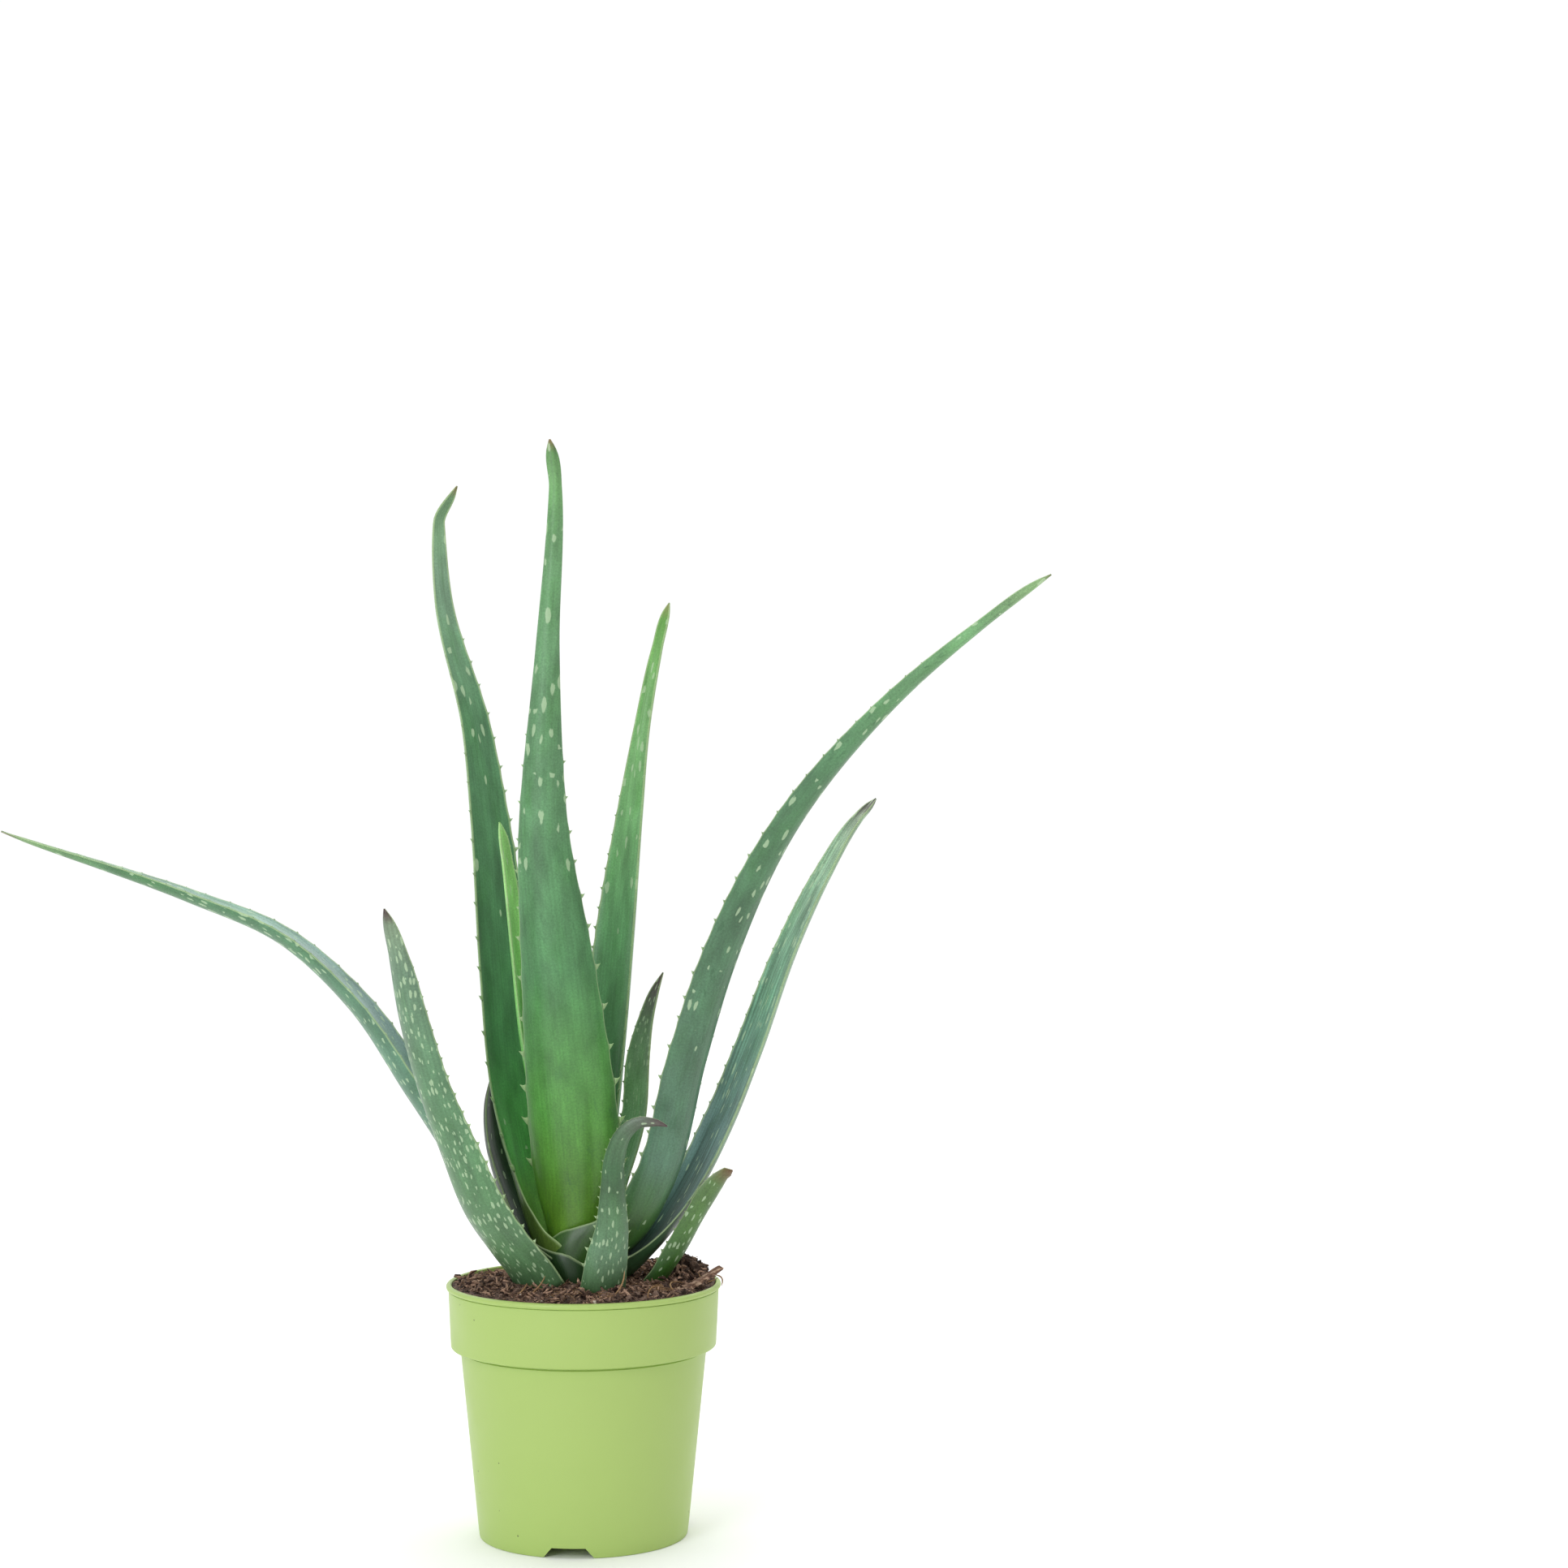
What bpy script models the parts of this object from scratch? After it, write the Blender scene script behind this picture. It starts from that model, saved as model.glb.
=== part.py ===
"""Potted aloe: a clump of fleshy toothed leaves on a short stem, in a stepped plastic nursery pot of soil.

Run with: blender --background --python part.py
Units are metres, +Z is up, and the pot stands on z = 0. The origin is under the middle of the whole
object's outline, seen from above.
"""
import math

import bmesh
import bpy
import numpy as np
from mathutils import Matrix, Vector

MM = 0.001

# ---- clearances -------------------------------------------------------------------------------
TOUCH_GAP = 0.3 * MM        # left between pieces that rest on one another
LAYER_GAP = 0.5 * MM        # left between one leaf base and the next one outside it
CUT_OVERRUN = 2.0 * MM      # how far a cutter runs past the faces it cuts

# ---- pot --------------------------------------------------------------------------------------
POT_HEIGHT = 110.0 * MM
RIM_RADIUS = 60.0 * MM      # outside of the rolled bead on the rim
BEAD_OVERHANG = 1.0 * MM    # how far the bead stands out past the lip band
BEAD_HEIGHT = 3.2 * MM
LIP_HEIGHT = 27.7 * MM      # the wide band under the bead
LIP_DRAFT = 1.1 * MM        # how much the band narrows from top to bottom
STEP_IN = 4.1 * MM          # from the band in to the tapering body
FOOT_RADIUS = 45.5 * MM
POT_WALL = 1.3 * MM
FOOT_RING_WIDTH = 2.2 * MM
FLOOR_RAISE = 5.2 * MM      # from the standing surface up to the underside of the pot's floor
POT_FLOOR = 1.5 * MM
NOTCH_COUNT = 3
NOTCH_WIDTH = 22.0 * MM
NOTCH_TOP_WIDTH = 14.6 * MM
NOTCH_HEIGHT = 4.4 * MM
NOTCH_TURN = math.radians(-94.5)
DRAIN_COUNT = 6
DRAIN_RADIUS = 3.5 * MM
DRAIN_CIRCLE = 30.0 * MM
TURNED_STEPS = 72

# ---- soil -------------------------------------------------------------------------------------
SOIL_HEAP = 2.0 * MM        # how far the middle of the soil stands above the rim
SOIL_EDGE_DROP = 1.8 * MM   # how far the soil lies below the rim at the wall

# ---- plant ------------------------------------------------------------------------------------
PLANT_SCALE = 1.0           # one factor for every leaf and for the stem
CROWN_OFFSET = (-3.0 * MM, -4.0 * MM)   # from the pot's axis to the plant's
HEART_RADIUS = 5.0 * MM     # outside of the innermost leaf's base
LEAF_BASE_WALL = 1.6 * MM   # how thick a leaf is where it clasps the stem
LEAF_EDGE = 0.9 * MM        # how thick a leaf is along its margins
STEM_DEPTH = 36.0 * MM
STEM_FOOT_RADIUS = 9.0 * MM
LEAF_RINGS = 30
LEAF_HALF_ARC_STEPS = 4

# ---- wood chip on the soil --------------------------------------------------------------------
CHIP_SIZE = (23.0 * MM, 5.0 * MM, 2.4 * MM)
CHIP_PLACE = (57.0 * MM, -16.5 * MM)   # its middle, from the crown
CHIP_LIFT = 8.2405 * MM       # its middle above the soil that its low end lies on
CHIP_TURN = math.radians(30.0)
CHIP_RISE = math.radians(24.0)

# Each leaf: its name, its place counted outwards from the heart (None: it comes up on its own, outside the
# clump), the compass direction that its back faces at the base, how far its base wraps round to each side,
# how tall that clasping base is, and its colour. Then rows down the blade, from base to tip, in millimetres
# from the crown at soil level: x, y, z of the section's middle, half its width, how far it curves round to
# each side in degrees, its thickness, and how far it is turned about its own length in degrees.
GREEN = (0.105, 0.235, 0.082)
GREY_GREEN = (0.150, 0.262, 0.158)
DARK_GREEN = (0.060, 0.145, 0.075)
LEAVES = [
    ("leaf_heart_young", 0, 150, 150, 22, (0.20, 0.42, 0.09), [
        (-12.5, 0, 60, 6.5, 92, 2.6, 0), (-22, 1, 104, 6.2, 68, 2.8, 0), (-26.4, 2, 140, 5.3, 62, 2.4, 0),
        (-30.9, 2.5, 179, 3.8, 62, 1.9, 0), (-34, 2.5, 199, 0.4, 62, 0.7, 0)]),
    ("leaf_back_right", 1, 50, 110, 18, (0.10, 0.29, 0.07), [
        (9, 9, 50, 10, 76, 3.2, 0), (13, 18, 96, 12.3, 62, 5, 0), (17.4, 28, 149, 11.5, 60, 5.5, 0),
        (22.9, 37.5, 203, 7.7, 60, 4.8, 0), (27.3, 44, 240, 4.9, 60, 3.8, 0),
        (33.8, 50, 277, 3.4, 62, 2.6, 0), (38.6, 54, 298, 0.4, 62, 0.7, 0)]),
    ("leaf_front_tall", 2, 270, 106, 15, GREEN, [
        (0.7, -7, 35, 17.5, 76, 3.4, 0), (-0.5, -13.9, 64, 19.4, 60, 5.5, 0),
        (-6.5, -22.8, 134, 16, 55, 6.5, 0), (-12.6, -28.2, 204, 10.1, 57, 6, 0),
        (-10.2, -33, 273, 5.2, 62, 4.2, 0), (-6.3, -39, 341, 2.8, 66, 2.4, 0),
        (-8.5, -41.5, 361.5, 0.4, 66, 0.7, 0)]),
    ("leaf_back_left_tall", 3, 127, 110, 12, (0.055, 0.165, 0.070), [
        (-13, 9, 28, 15.5, 78, 2.4, 15), (-21, 13, 45, 15.5, 68, 3.4, 12), (-28, 17.5, 70, 15.5, 64, 5, 5),
        (-35.2, 26, 130, 13.7, 60, 6, 0), (-42.8, 37, 200, 9.8, 58, 5.5, 0), (-49, 43, 240, 7.5, 60, 4.5, 0),
        (-64.5, 51, 299, 4.6, 62, 3.2, 0), (-67, 56.5, 334, 3, 65, 2.2, 0),
        (-58.6, 59, 351.6, 0.4, 65, 0.7, 0)]),
    ("leaf_right_arching", 4, 335, 90, 10, (0.165, 0.290, 0.195), [
        (20, -8.5, 22, 13, 72, 2.8, -12), (34, -13.5, 40, 12, 66, 4, -22),
        (51.5, -22, 98, 10.5, 58, 5.5, -30), (63.5, -26.5, 138, 9.5, 56, 5.5, -30),
        (90.5, -38.5, 197, 8, 58, 4.8, -28),
        (131.5, -56, 249, 6.5, 60, 4, -25), (171, -74, 281.5, 4.2, 64, 3, -20),
        (199.5, -88, 300.9, 0.4, 64, 0.7, -20)]),
    ("leaf_left_small", 5, 165, 60, 6, (0.085, 0.085, 0.065), [
        (-22.8, 13.6, 20, 7.2, 60, 2.2, 0), (-35.5, 17.3, 38, 7.6, 62, 2.4, 0),
        (-39.5, 19, 58.6, 6, 62, 2.4, 0), (-40.8, 20, 73.5, 4, 64, 1.8, 0),
        (-39.3, 19.5, 86.5, 0.4, 64, 0.7, 0)]),
    ("leaf_back_right_small", 6, 60, 44, 5, DARK_GREEN, [
        (15, 22, 35, 7.8, 60, 3, 0), (24.5, 29.5, 66, 6.6, 62, 3.6, 0), (26.4, 36.5, 94, 6.1, 60, 3.2, 0),
        (29, 40.5, 109, 4.2, 62, 2.6, 0), (32.8, 45, 122.6, 2.4, 64, 1.6, 0),
        (36, 47, 130.4, 0.4, 64, 0.7, 0)]),
    ("leaf_right_lower", None, 5, 0, 2, (0.085, 0.180, 0.110), [
        (22, 2, 0, 12, 62, 2.6, 5), (42, 3.5, 27, 11, 62, 4, 20), (63.3, 6.5, 66, 10.2, 62, 4.8, 30),
        (77.2, 9, 100, 9.5, 60, 4.8, 30), (92.8, 11.5, 142, 8, 60, 4.2, 28),
        (108.5, 14.5, 175, 6.4, 62, 3.4, 25), (123.8, 17.5, 200, 3.9, 64, 2.2, 20),
        (131.5, 19.5, 209.2, 0.4, 64, 0.7, 20)]),
    ("leaf_left_arching", 7, 196, 40, 5, (0.095, 0.215, 0.110), [
        (-24.5, -12, 17, 10.4, 60, 2.8, 0), (-41, -12.5, 41, 12.5, 72, 3.6, -5),
        (-67.3, -14, 82, 12.8, 72, 4.8, -8), (-95, -15, 121.5, 10.8, 68, 4.8, -8),
        (-125.7, -16, 149, 9, 66, 4.2, -8),
        (-164.6, -17, 166.2, 7.4, 64, 3.4, -8), (-205.5, -18, 181, 4.6, 64, 2.6, -8),
        (-246.3, -19, 195.1, 0.4, 64, 0.7, -8)]),
    ("leaf_front_left", 8, 226, 34, 2, GREY_GREEN, [
        (-27.5, -22.5, 16, 14, 48, 4, 0), (-37.3, -27.5, 30.5, 14, 54, 5, 0),
        (-49.3, -35.8, 59, 12.2, 56, 5.5, 0), (-59.3, -44, 88, 10.2, 56, 5, 0),
        (-66, -53, 116, 8.8, 58, 4.3, 0), (-70.8, -61.5, 143.5, 5.8, 60, 3, 0),
        (-75, -68, 164, 0.4, 60, 0.7, 0)]),
    ("leaf_front_small", None, 285, 0, 3, GREY_GREEN, [
        (14, -29.5, 0, 9, 55, 3.6, 0), (15.5, -30.8, 12, 9.2, 56, 4.2, 0),
        (17.6, -32.8, 24.3, 7.3, 58, 4.2, 0), (18.2, -36, 42, 5.4, 60, 3.8, 0),
        (19.6, -39.3, 59, 4.3, 62, 3, 0), (23.2, -41, 67.5, 3.6, 64, 2.6, 0),
        (29, -42.2, 72, 2.9, 66, 2, 0), (36, -42.5, 72.3, 2, 66, 1.4, 0),
        (41.3, -42.5, 71, 0.4, 66, 0.7, 0)]),
    ("leaf_right_small", None, 340, 0, 2, (0.190, 0.320, 0.130), [
        (36.5, -6, 0, 5.5, 62, 2.8, -20), (43.8, -7, 12, 5.8, 60, 3.4, -30), (52, -9, 27, 5.2, 60, 3.4, -35),
        (60.5, -10.5, 41, 5, 60, 2.8, -35), (64.6, -11.5, 46, 3.2, 62, 2, -35),
        (68.4, -12, 48.5, 0.4, 62, 0.7, -35)]),
]


# ---- sizes that follow from those above ---------------------------------------------------------
LIP_TOP_RADIUS = RIM_RADIUS - BEAD_OVERHANG
LIP_BOTTOM_RADIUS = LIP_TOP_RADIUS - LIP_DRAFT
LIP_BOTTOM_Z = POT_HEIGHT - LIP_HEIGHT
BODY_TOP_RADIUS = LIP_BOTTOM_RADIUS - STEP_IN
FLOOR_TOP_Z = FLOOR_RAISE + POT_FLOOR
SOIL_TOP_Z = POT_HEIGHT + SOIL_HEAP
LAYER = LEAF_BASE_WALL + LAYER_GAP
OUTER_LAYER = max(leaf[1] for leaf in LEAVES if leaf[1] is not None)
STEM_TOP_RADIUS = (HEART_RADIUS + OUTER_LAYER * LAYER) * PLANT_SCALE + TOUCH_GAP
BLADE_UNIT = MM * PLANT_SCALE


def clear_scene():
    for obj in list(bpy.data.objects):
        bpy.data.objects.remove(obj, do_unlink=True)


def make_collection(name, hidden=False):
    collection = bpy.data.collections.new(name)
    bpy.context.scene.collection.children.link(collection)
    collection.hide_render = hidden
    return collection


def make_material(name, colour, roughness):
    material = bpy.data.materials.new(name)
    material.use_nodes = True
    shader = material.node_tree.nodes["Principled BSDF"]
    shader.inputs["Base Color"].default_value = (*colour, 1.0)
    shader.inputs["Roughness"].default_value = roughness
    shader.inputs["Metallic"].default_value = 0.0
    return material


def object_from(bm, name, collection):
    mesh = bpy.data.meshes.new(name)
    bm.to_mesh(mesh)
    bm.free()
    obj = bpy.data.objects.new(name, mesh)
    collection.objects.link(obj)
    return obj


def finish(obj, parent, colour, roughness):
    obj.parent = parent
    obj.data.materials.append(make_material(obj.name, colour, roughness))
    return obj


# ---- turned pieces ------------------------------------------------------------------------------
def turned(name, profile, collection):
    """A solid of revolution about its own Z from (radius, height) points that run from axis to axis."""
    bm = bmesh.new()
    verts = [bm.verts.new((radius, 0.0, height)) for radius, height in profile]
    for lower, upper in zip(verts, verts[1:]):
        bm.edges.new((lower, upper))
    obj = object_from(bm, name, collection)
    screw = obj.modifiers.new("turn", "SCREW")
    screw.axis = "Z"
    screw.angle = math.tau
    screw.steps = TURNED_STEPS
    screw.render_steps = TURNED_STEPS
    screw.use_merge_vertices = True
    screw.merge_threshold = 0.00001
    screw.use_smooth_shade = True
    return obj


def cut(obj, cutter):
    boolean = obj.modifiers.new("cut " + cutter.name, "BOOLEAN")
    boolean.operation = "DIFFERENCE"
    boolean.solver = "EXACT"
    boolean.object = cutter
    cutter.display_type = "WIRE"
    cutter.hide_render = True


def wall_radius(z, inside):
    """Radius of the tapering body's outer or inner face at a height below the lip band."""
    outer = FOOT_RADIUS + (BODY_TOP_RADIUS - FOOT_RADIUS) * z / LIP_BOTTOM_Z
    return outer - (POT_WALL if inside else 0.0)


def lip_inside_radius(z):
    return LIP_BOTTOM_RADIUS + LIP_DRAFT * (z - LIP_BOTTOM_Z) / LIP_HEIGHT - POT_WALL


def make_pot(collection, cutters):
    bead = BEAD_HEIGHT
    step_top_z = LIP_BOTTOM_Z + POT_WALL
    profile = [
        (0.0, FLOOR_TOP_Z),
        (wall_radius(FLOOR_TOP_Z, True), FLOOR_TOP_Z),
        (wall_radius(LIP_BOTTOM_Z, True), step_top_z),
        (lip_inside_radius(step_top_z), step_top_z),
        (lip_inside_radius(POT_HEIGHT), POT_HEIGHT - 0.4 * MM),
        (lip_inside_radius(POT_HEIGHT) + 0.4 * MM, POT_HEIGHT),
        (RIM_RADIUS - 0.6 * MM, POT_HEIGHT),
        (RIM_RADIUS - 0.15 * MM, POT_HEIGHT - 0.2 * bead),
        (RIM_RADIUS, POT_HEIGHT - 0.45 * bead),
        (RIM_RADIUS - 0.25 * MM, POT_HEIGHT - 0.8 * bead),
        (LIP_TOP_RADIUS, POT_HEIGHT - bead),
        (LIP_BOTTOM_RADIUS, LIP_BOTTOM_Z + 0.9 * MM),
        (LIP_BOTTOM_RADIUS - 0.9 * MM, LIP_BOTTOM_Z),
        (BODY_TOP_RADIUS, LIP_BOTTOM_Z),
        (wall_radius(0.6 * MM, False), 0.6 * MM),
        (FOOT_RADIUS - 0.4 * MM, 0.0),
        (FOOT_RADIUS - FOOT_RING_WIDTH, 0.0),
        (FOOT_RADIUS - FOOT_RING_WIDTH, FLOOR_RAISE),
        (0.0, FLOOR_RAISE),
    ]
    pot = turned("pot", profile, collection)
    for number in range(NOTCH_COUNT):
        turn = NOTCH_TURN + number * math.tau / NOTCH_COUNT
        cut(pot, make_notch_cutter(number, turn, cutters))
    cut(pot, make_drain_cutter(cutters))
    return pot


def make_notch_cutter(number, turn, cutters):
    """A block that narrows upwards, across the standing ring, and runs on below it."""
    slope = (NOTCH_WIDTH - NOTCH_TOP_WIDTH) / NOTCH_HEIGHT
    bottom_width = NOTCH_WIDTH + slope * CUT_OVERRUN
    bm = bmesh.new()
    bmesh.ops.create_cube(bm, size=1.0)
    depth = 2.0 * (FOOT_RING_WIDTH + CUT_OVERRUN)
    for vert in bm.verts:
        top = vert.co.z > 0.0
        width = NOTCH_TOP_WIDTH if top else bottom_width
        height = NOTCH_HEIGHT if top else -CUT_OVERRUN
        vert.co = Vector((vert.co.x * depth + FOOT_RADIUS, vert.co.y * width, height))
    cutter = object_from(bm, f"notch_cutter_{number}", cutters)
    cutter.rotation_euler = (0.0, 0.0, turn)
    return cutter


def make_drain_cutter(cutters):
    bm = bmesh.new()
    for number in range(DRAIN_COUNT):
        angle = math.tau * number / DRAIN_COUNT
        place = Vector((DRAIN_CIRCLE * math.cos(angle), DRAIN_CIRCLE * math.sin(angle), FLOOR_RAISE))
        bmesh.ops.create_cone(
            bm, cap_ends=True, segments=20, radius1=DRAIN_RADIUS, radius2=DRAIN_RADIUS,
            depth=2.0 * (POT_FLOOR + CUT_OVERRUN), matrix=Matrix.Translation(place))
    return object_from(bm, "drain_cutter", cutters)


def stem_profile(grow):
    """The buried stem's outline, and, grown by a clearance, the hollow that it leaves in the soil."""
    top = STEM_TOP_RADIUS + grow
    foot = STEM_FOOT_RADIUS * PLANT_SCALE + grow
    depth = STEM_DEPTH * PLANT_SCALE + grow
    rise = CUT_OVERRUN if grow else 0.0
    return [(0.0, rise), (top, rise), (top, -0.14 * depth), (foot + 0.3 * (top - foot), -0.5 * depth),
            (foot, -0.92 * depth), (0.55 * foot, -depth), (0.0, -depth)]


def make_soil(collection, cutters):
    gap = TOUCH_GAP
    step_top_z = LIP_BOTTOM_Z + POT_WALL
    floor_z = FLOOR_TOP_Z + gap
    profile = [
        (0.0, SOIL_TOP_Z),
        *soil_slope(),
        (lip_inside_radius(step_top_z) - gap, step_top_z + gap),
        (wall_radius(LIP_BOTTOM_Z, True) - gap, step_top_z + gap),
        (wall_radius(floor_z, True) - gap, floor_z),
        (0.0, floor_z),
    ]
    soil = turned("soil", profile, collection)
    hollow = turned("stem_hollow_cutter", stem_profile(gap), cutters)
    hollow.location = (*CROWN_OFFSET, SOIL_TOP_Z)
    cut(soil, hollow)
    return soil


def soil_slope():
    """The soil's top as radius and height, from where it is level out to the pot's wall."""
    flat_radius = soil_flat_radius()
    edge_z = POT_HEIGHT - SOIL_EDGE_DROP
    return [
        (flat_radius, SOIL_TOP_Z),
        (0.5 * (flat_radius + lip_inside_radius(edge_z)), 0.35 * SOIL_TOP_Z + 0.65 * edge_z),
        (lip_inside_radius(edge_z) - TOUCH_GAP, edge_z),
    ]


def soil_height_at(radius):
    radii, heights = zip(*soil_slope())
    return float(np.interp(radius, radii, heights))


def soil_flat_radius():
    """The soil is level as far out as any leaf comes up through it."""
    reach = STEM_TOP_RADIUS + math.hypot(*CROWN_OFFSET)
    for _, layer, _, _, _, _, rows in LEAVES:
        if layer is None:
            x, y, _, half = rows[0][:4]
            out = math.hypot(x * BLADE_UNIT + CROWN_OFFSET[0], y * BLADE_UNIT + CROWN_OFFSET[1])
            reach = max(reach, out + half * BLADE_UNIT)
    return reach


# ---- leaves -------------------------------------------------------------------------------------
def arc_radius(half, curve):
    return half / math.sin(min(curve, 0.5 * math.pi))


def arc_depth(half, curve):
    return arc_radius(half, curve) * (1.0 - math.cos(curve))


def leaf_rows(layer, facing, wrap, clasp, rows):
    """All of a leaf's rows as an array, with two upright rows at the base, where it may clasp the stem."""
    rows = [(*row[:4], math.radians(row[4]), row[5], math.radians(row[6])) for row in rows]
    if layer is None:
        root = rows[0]
        return np.array([root, (*root[:2], clasp, *root[3:]), *rows[1:]])
    radius = (HEART_RADIUS + layer * LAYER) / MM
    curve = math.radians(wrap)
    half = radius * math.sin(min(curve, 0.5 * math.pi))
    out = radius - 0.5 * arc_depth(half, curve)
    wall = LEAF_BASE_WALL / MM
    base = [(out * math.cos(facing), out * math.sin(facing), z, half, curve, wall, 0.0) for z in (0.0, clasp)]
    return np.array(base + rows)


def smooth_through(rows, count):
    """Points spaced evenly along a smooth curve through the rows, and the curve's directions there."""
    steps = np.linalg.norm(np.diff(rows[:, :3], axis=0), axis=1)
    knots = np.concatenate(([0.0], np.cumsum(steps)))
    slopes = np.diff(rows, axis=0) / steps[:, None]
    tangents = np.empty_like(rows)
    tangents[0] = slopes[0]
    tangents[-1] = slopes[-1]
    weight = (steps[:-1] / (steps[:-1] + steps[1:]))[:, None]
    tangents[1:-1] = (1.0 - weight) * slopes[:-1] + weight * slopes[1:]
    tangents[1:-1][slopes[:-1] * slopes[1:] <= 0.0] = 0.0
    at = np.linspace(0.0, knots[-1], count)
    span = np.clip(np.searchsorted(knots, at, side="right") - 1, 0, len(steps) - 1)
    length = steps[span][:, None]
    u = ((at - knots[span])[:, None]) / length
    start, end = rows[span], rows[span + 1]
    go, stop = tangents[span] * length, tangents[span + 1] * length
    points = ((2 * u**3 - 3 * u**2 + 1) * start + (u**3 - 2 * u**2 + u) * go
              + (3 * u**2 - 2 * u**3) * end + (u**3 - u**2) * stop)
    slope = ((6 * u**2 - 6 * u) * start + (3 * u**2 - 4 * u + 1) * go
             + (6 * u - 6 * u**2) * end + (3 * u**2 - 2 * u) * stop)[:, :3]
    return points, slope / np.linalg.norm(slope, axis=1)[:, None]


def leaf_sections(rows, facing):
    """For each ring: its middle, its sideways and inward directions, half width, curve and thickness."""
    points, along = smooth_through(rows, LEAF_RINGS)
    side = Vector((-math.sin(facing), math.cos(facing), 0.0))
    before = Vector((0.0, 0.0, 1.0))
    sections = []
    for row, direction in zip(points, along):
        forward = Vector(direction)
        side = before.rotation_difference(forward) @ side
        side = (side - forward * side.dot(forward)).normalized()
        before = forward
        turned_side = Matrix.Rotation(row[6], 3, forward) @ side
        inward = forward.cross(turned_side)
        sections.append((Vector(row[:3]), turned_side, inward, row[3], row[4], row[5]))
    return sections


def section_ring(section):
    """Points round one leaf section: the curved back from margin to margin, then the hollow face."""
    middle, side, inward, half, curve, thick = section
    radius = arc_radius(half, curve)
    edge = min(LEAF_EDGE / MM, 0.5 * thick)
    back_point = middle - inward * (0.5 * arc_depth(half, curve))
    count = LEAF_HALF_ARC_STEPS
    back, face = [], []
    for index in range(-count, count + 1):
        share = index / count
        angle = curve * share
        reach = inward * math.cos(angle) - side * math.sin(angle)
        point = back_point + inward * (radius * (1.0 - math.cos(angle))) + side * (radius * math.sin(angle))
        depth = edge + (thick - edge) * (1.0 - share * share)
        back.append(point)
        face.append(point + reach * depth)
    return back + face[::-1]


def make_leaf(name, layer, facing_degrees, wrap, clasp, rows, collection):
    facing = math.radians(facing_degrees)
    sections = leaf_sections(leaf_rows(layer, facing, wrap, clasp, rows), facing)
    bm = bmesh.new()
    rings = [[bm.verts.new(point * BLADE_UNIT) for point in section_ring(section)] for section in sections]
    around = len(rings[0])
    half = around // 2
    for lower, upper in zip(rings, rings[1:]):
        for index in range(around):
            after = (index + 1) % around
            bm.faces.new((lower[index], lower[after], upper[after], upper[index]))
    for ring, faces_down in ((rings[0], True), (rings[-1], False)):
        for index in range(half - 1):
            corners = (ring[index], ring[index + 1], ring[around - 2 - index], ring[around - 1 - index])
            bm.faces.new(corners[::-1] if faces_down else corners)
    for face in bm.faces:
        face.smooth = True
    leaf = object_from(bm, name, collection)
    leaf.location = (0.0, 0.0, TOUCH_GAP)
    return leaf


def make_chip(collection):
    """A broken flake of bark: a block that tapers to one end, with its corners rounded off."""
    bm = bmesh.new()
    bmesh.ops.create_cube(bm, size=1.0)
    for vert in bm.verts:
        taper = 1.0 if vert.co.x < 0.0 else 0.45
        vert.co = Vector((vert.co.x * CHIP_SIZE[0], vert.co.y * CHIP_SIZE[1] * taper,
                          vert.co.z * CHIP_SIZE[2] * taper))
    chip = object_from(bm, "wood_chip", collection)
    bevel = chip.modifiers.new("worn edges", "BEVEL")
    bevel.width = 0.4 * MM
    bevel.segments = 1
    low_end = [CROWN_OFFSET[axis] + CHIP_PLACE[axis] - 0.5 * CHIP_SIZE[0] * math.cos(CHIP_RISE) * direction
               for axis, direction in enumerate((math.cos(CHIP_TURN), math.sin(CHIP_TURN)))]
    chip.location = (*CHIP_PLACE, soil_height_at(math.hypot(*low_end)) + CHIP_LIFT - SOIL_TOP_Z)
    chip.rotation_euler = (0.0, -CHIP_RISE, CHIP_TURN)
    return chip


def outline_middle(objects):
    """Middle of the objects' outline seen from above, in the frame of the pot's axis."""
    bpy.context.view_layer.update()
    depsgraph = bpy.context.evaluated_depsgraph_get()
    corners = []
    for obj in objects:
        shape = obj.evaluated_get(depsgraph)
        corners += [shape.matrix_world @ vert.co for vert in shape.data.vertices]
    xs = [corner.x for corner in corners]
    ys = [corner.y for corner in corners]
    return 0.5 * (min(xs) + max(xs)), 0.5 * (min(ys) + max(ys))


def main():
    clear_scene()
    parts = make_collection("potted_aloe_plant")
    cutters = make_collection("cutters", hidden=True)
    pot_axis = bpy.data.objects.new("pot_axis", None)
    crown = bpy.data.objects.new("crown", None)
    for empty in (pot_axis, crown):
        parts.objects.link(empty)
    crown.parent = pot_axis
    crown.location = (*CROWN_OFFSET, SOIL_TOP_Z)

    finish(make_pot(parts, cutters), pot_axis, (0.462, 0.651, 0.192), 0.38)
    finish(make_soil(parts, cutters), pot_axis, (0.052, 0.026, 0.016), 0.95)
    finish(turned("stem", stem_profile(0.0), parts), crown, (0.230, 0.170, 0.080), 0.80)
    for name, layer, facing, wrap, clasp, colour, rows in LEAVES:
        finish(make_leaf(name, layer, facing, wrap, clasp, rows, parts), crown, colour, 0.42)
    finish(make_chip(parts), crown, (0.150, 0.082, 0.045), 0.90)
    for cutter in cutters.objects:
        cutter.parent = pot_axis

    middle_x, middle_y = outline_middle([obj for obj in parts.objects if obj.type == "MESH"])
    pot_axis.location = (-middle_x, -middle_y, 0.0)


main()
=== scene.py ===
"""Potted aloe, finished: toothed, flecked leaves wrap one another above loose soil in a stepped plastic pot.

Run it as a script in Blender. Sizes in the leaf table are millimetres from the crown, the middle of the
plant at soil level.
"""

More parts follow.
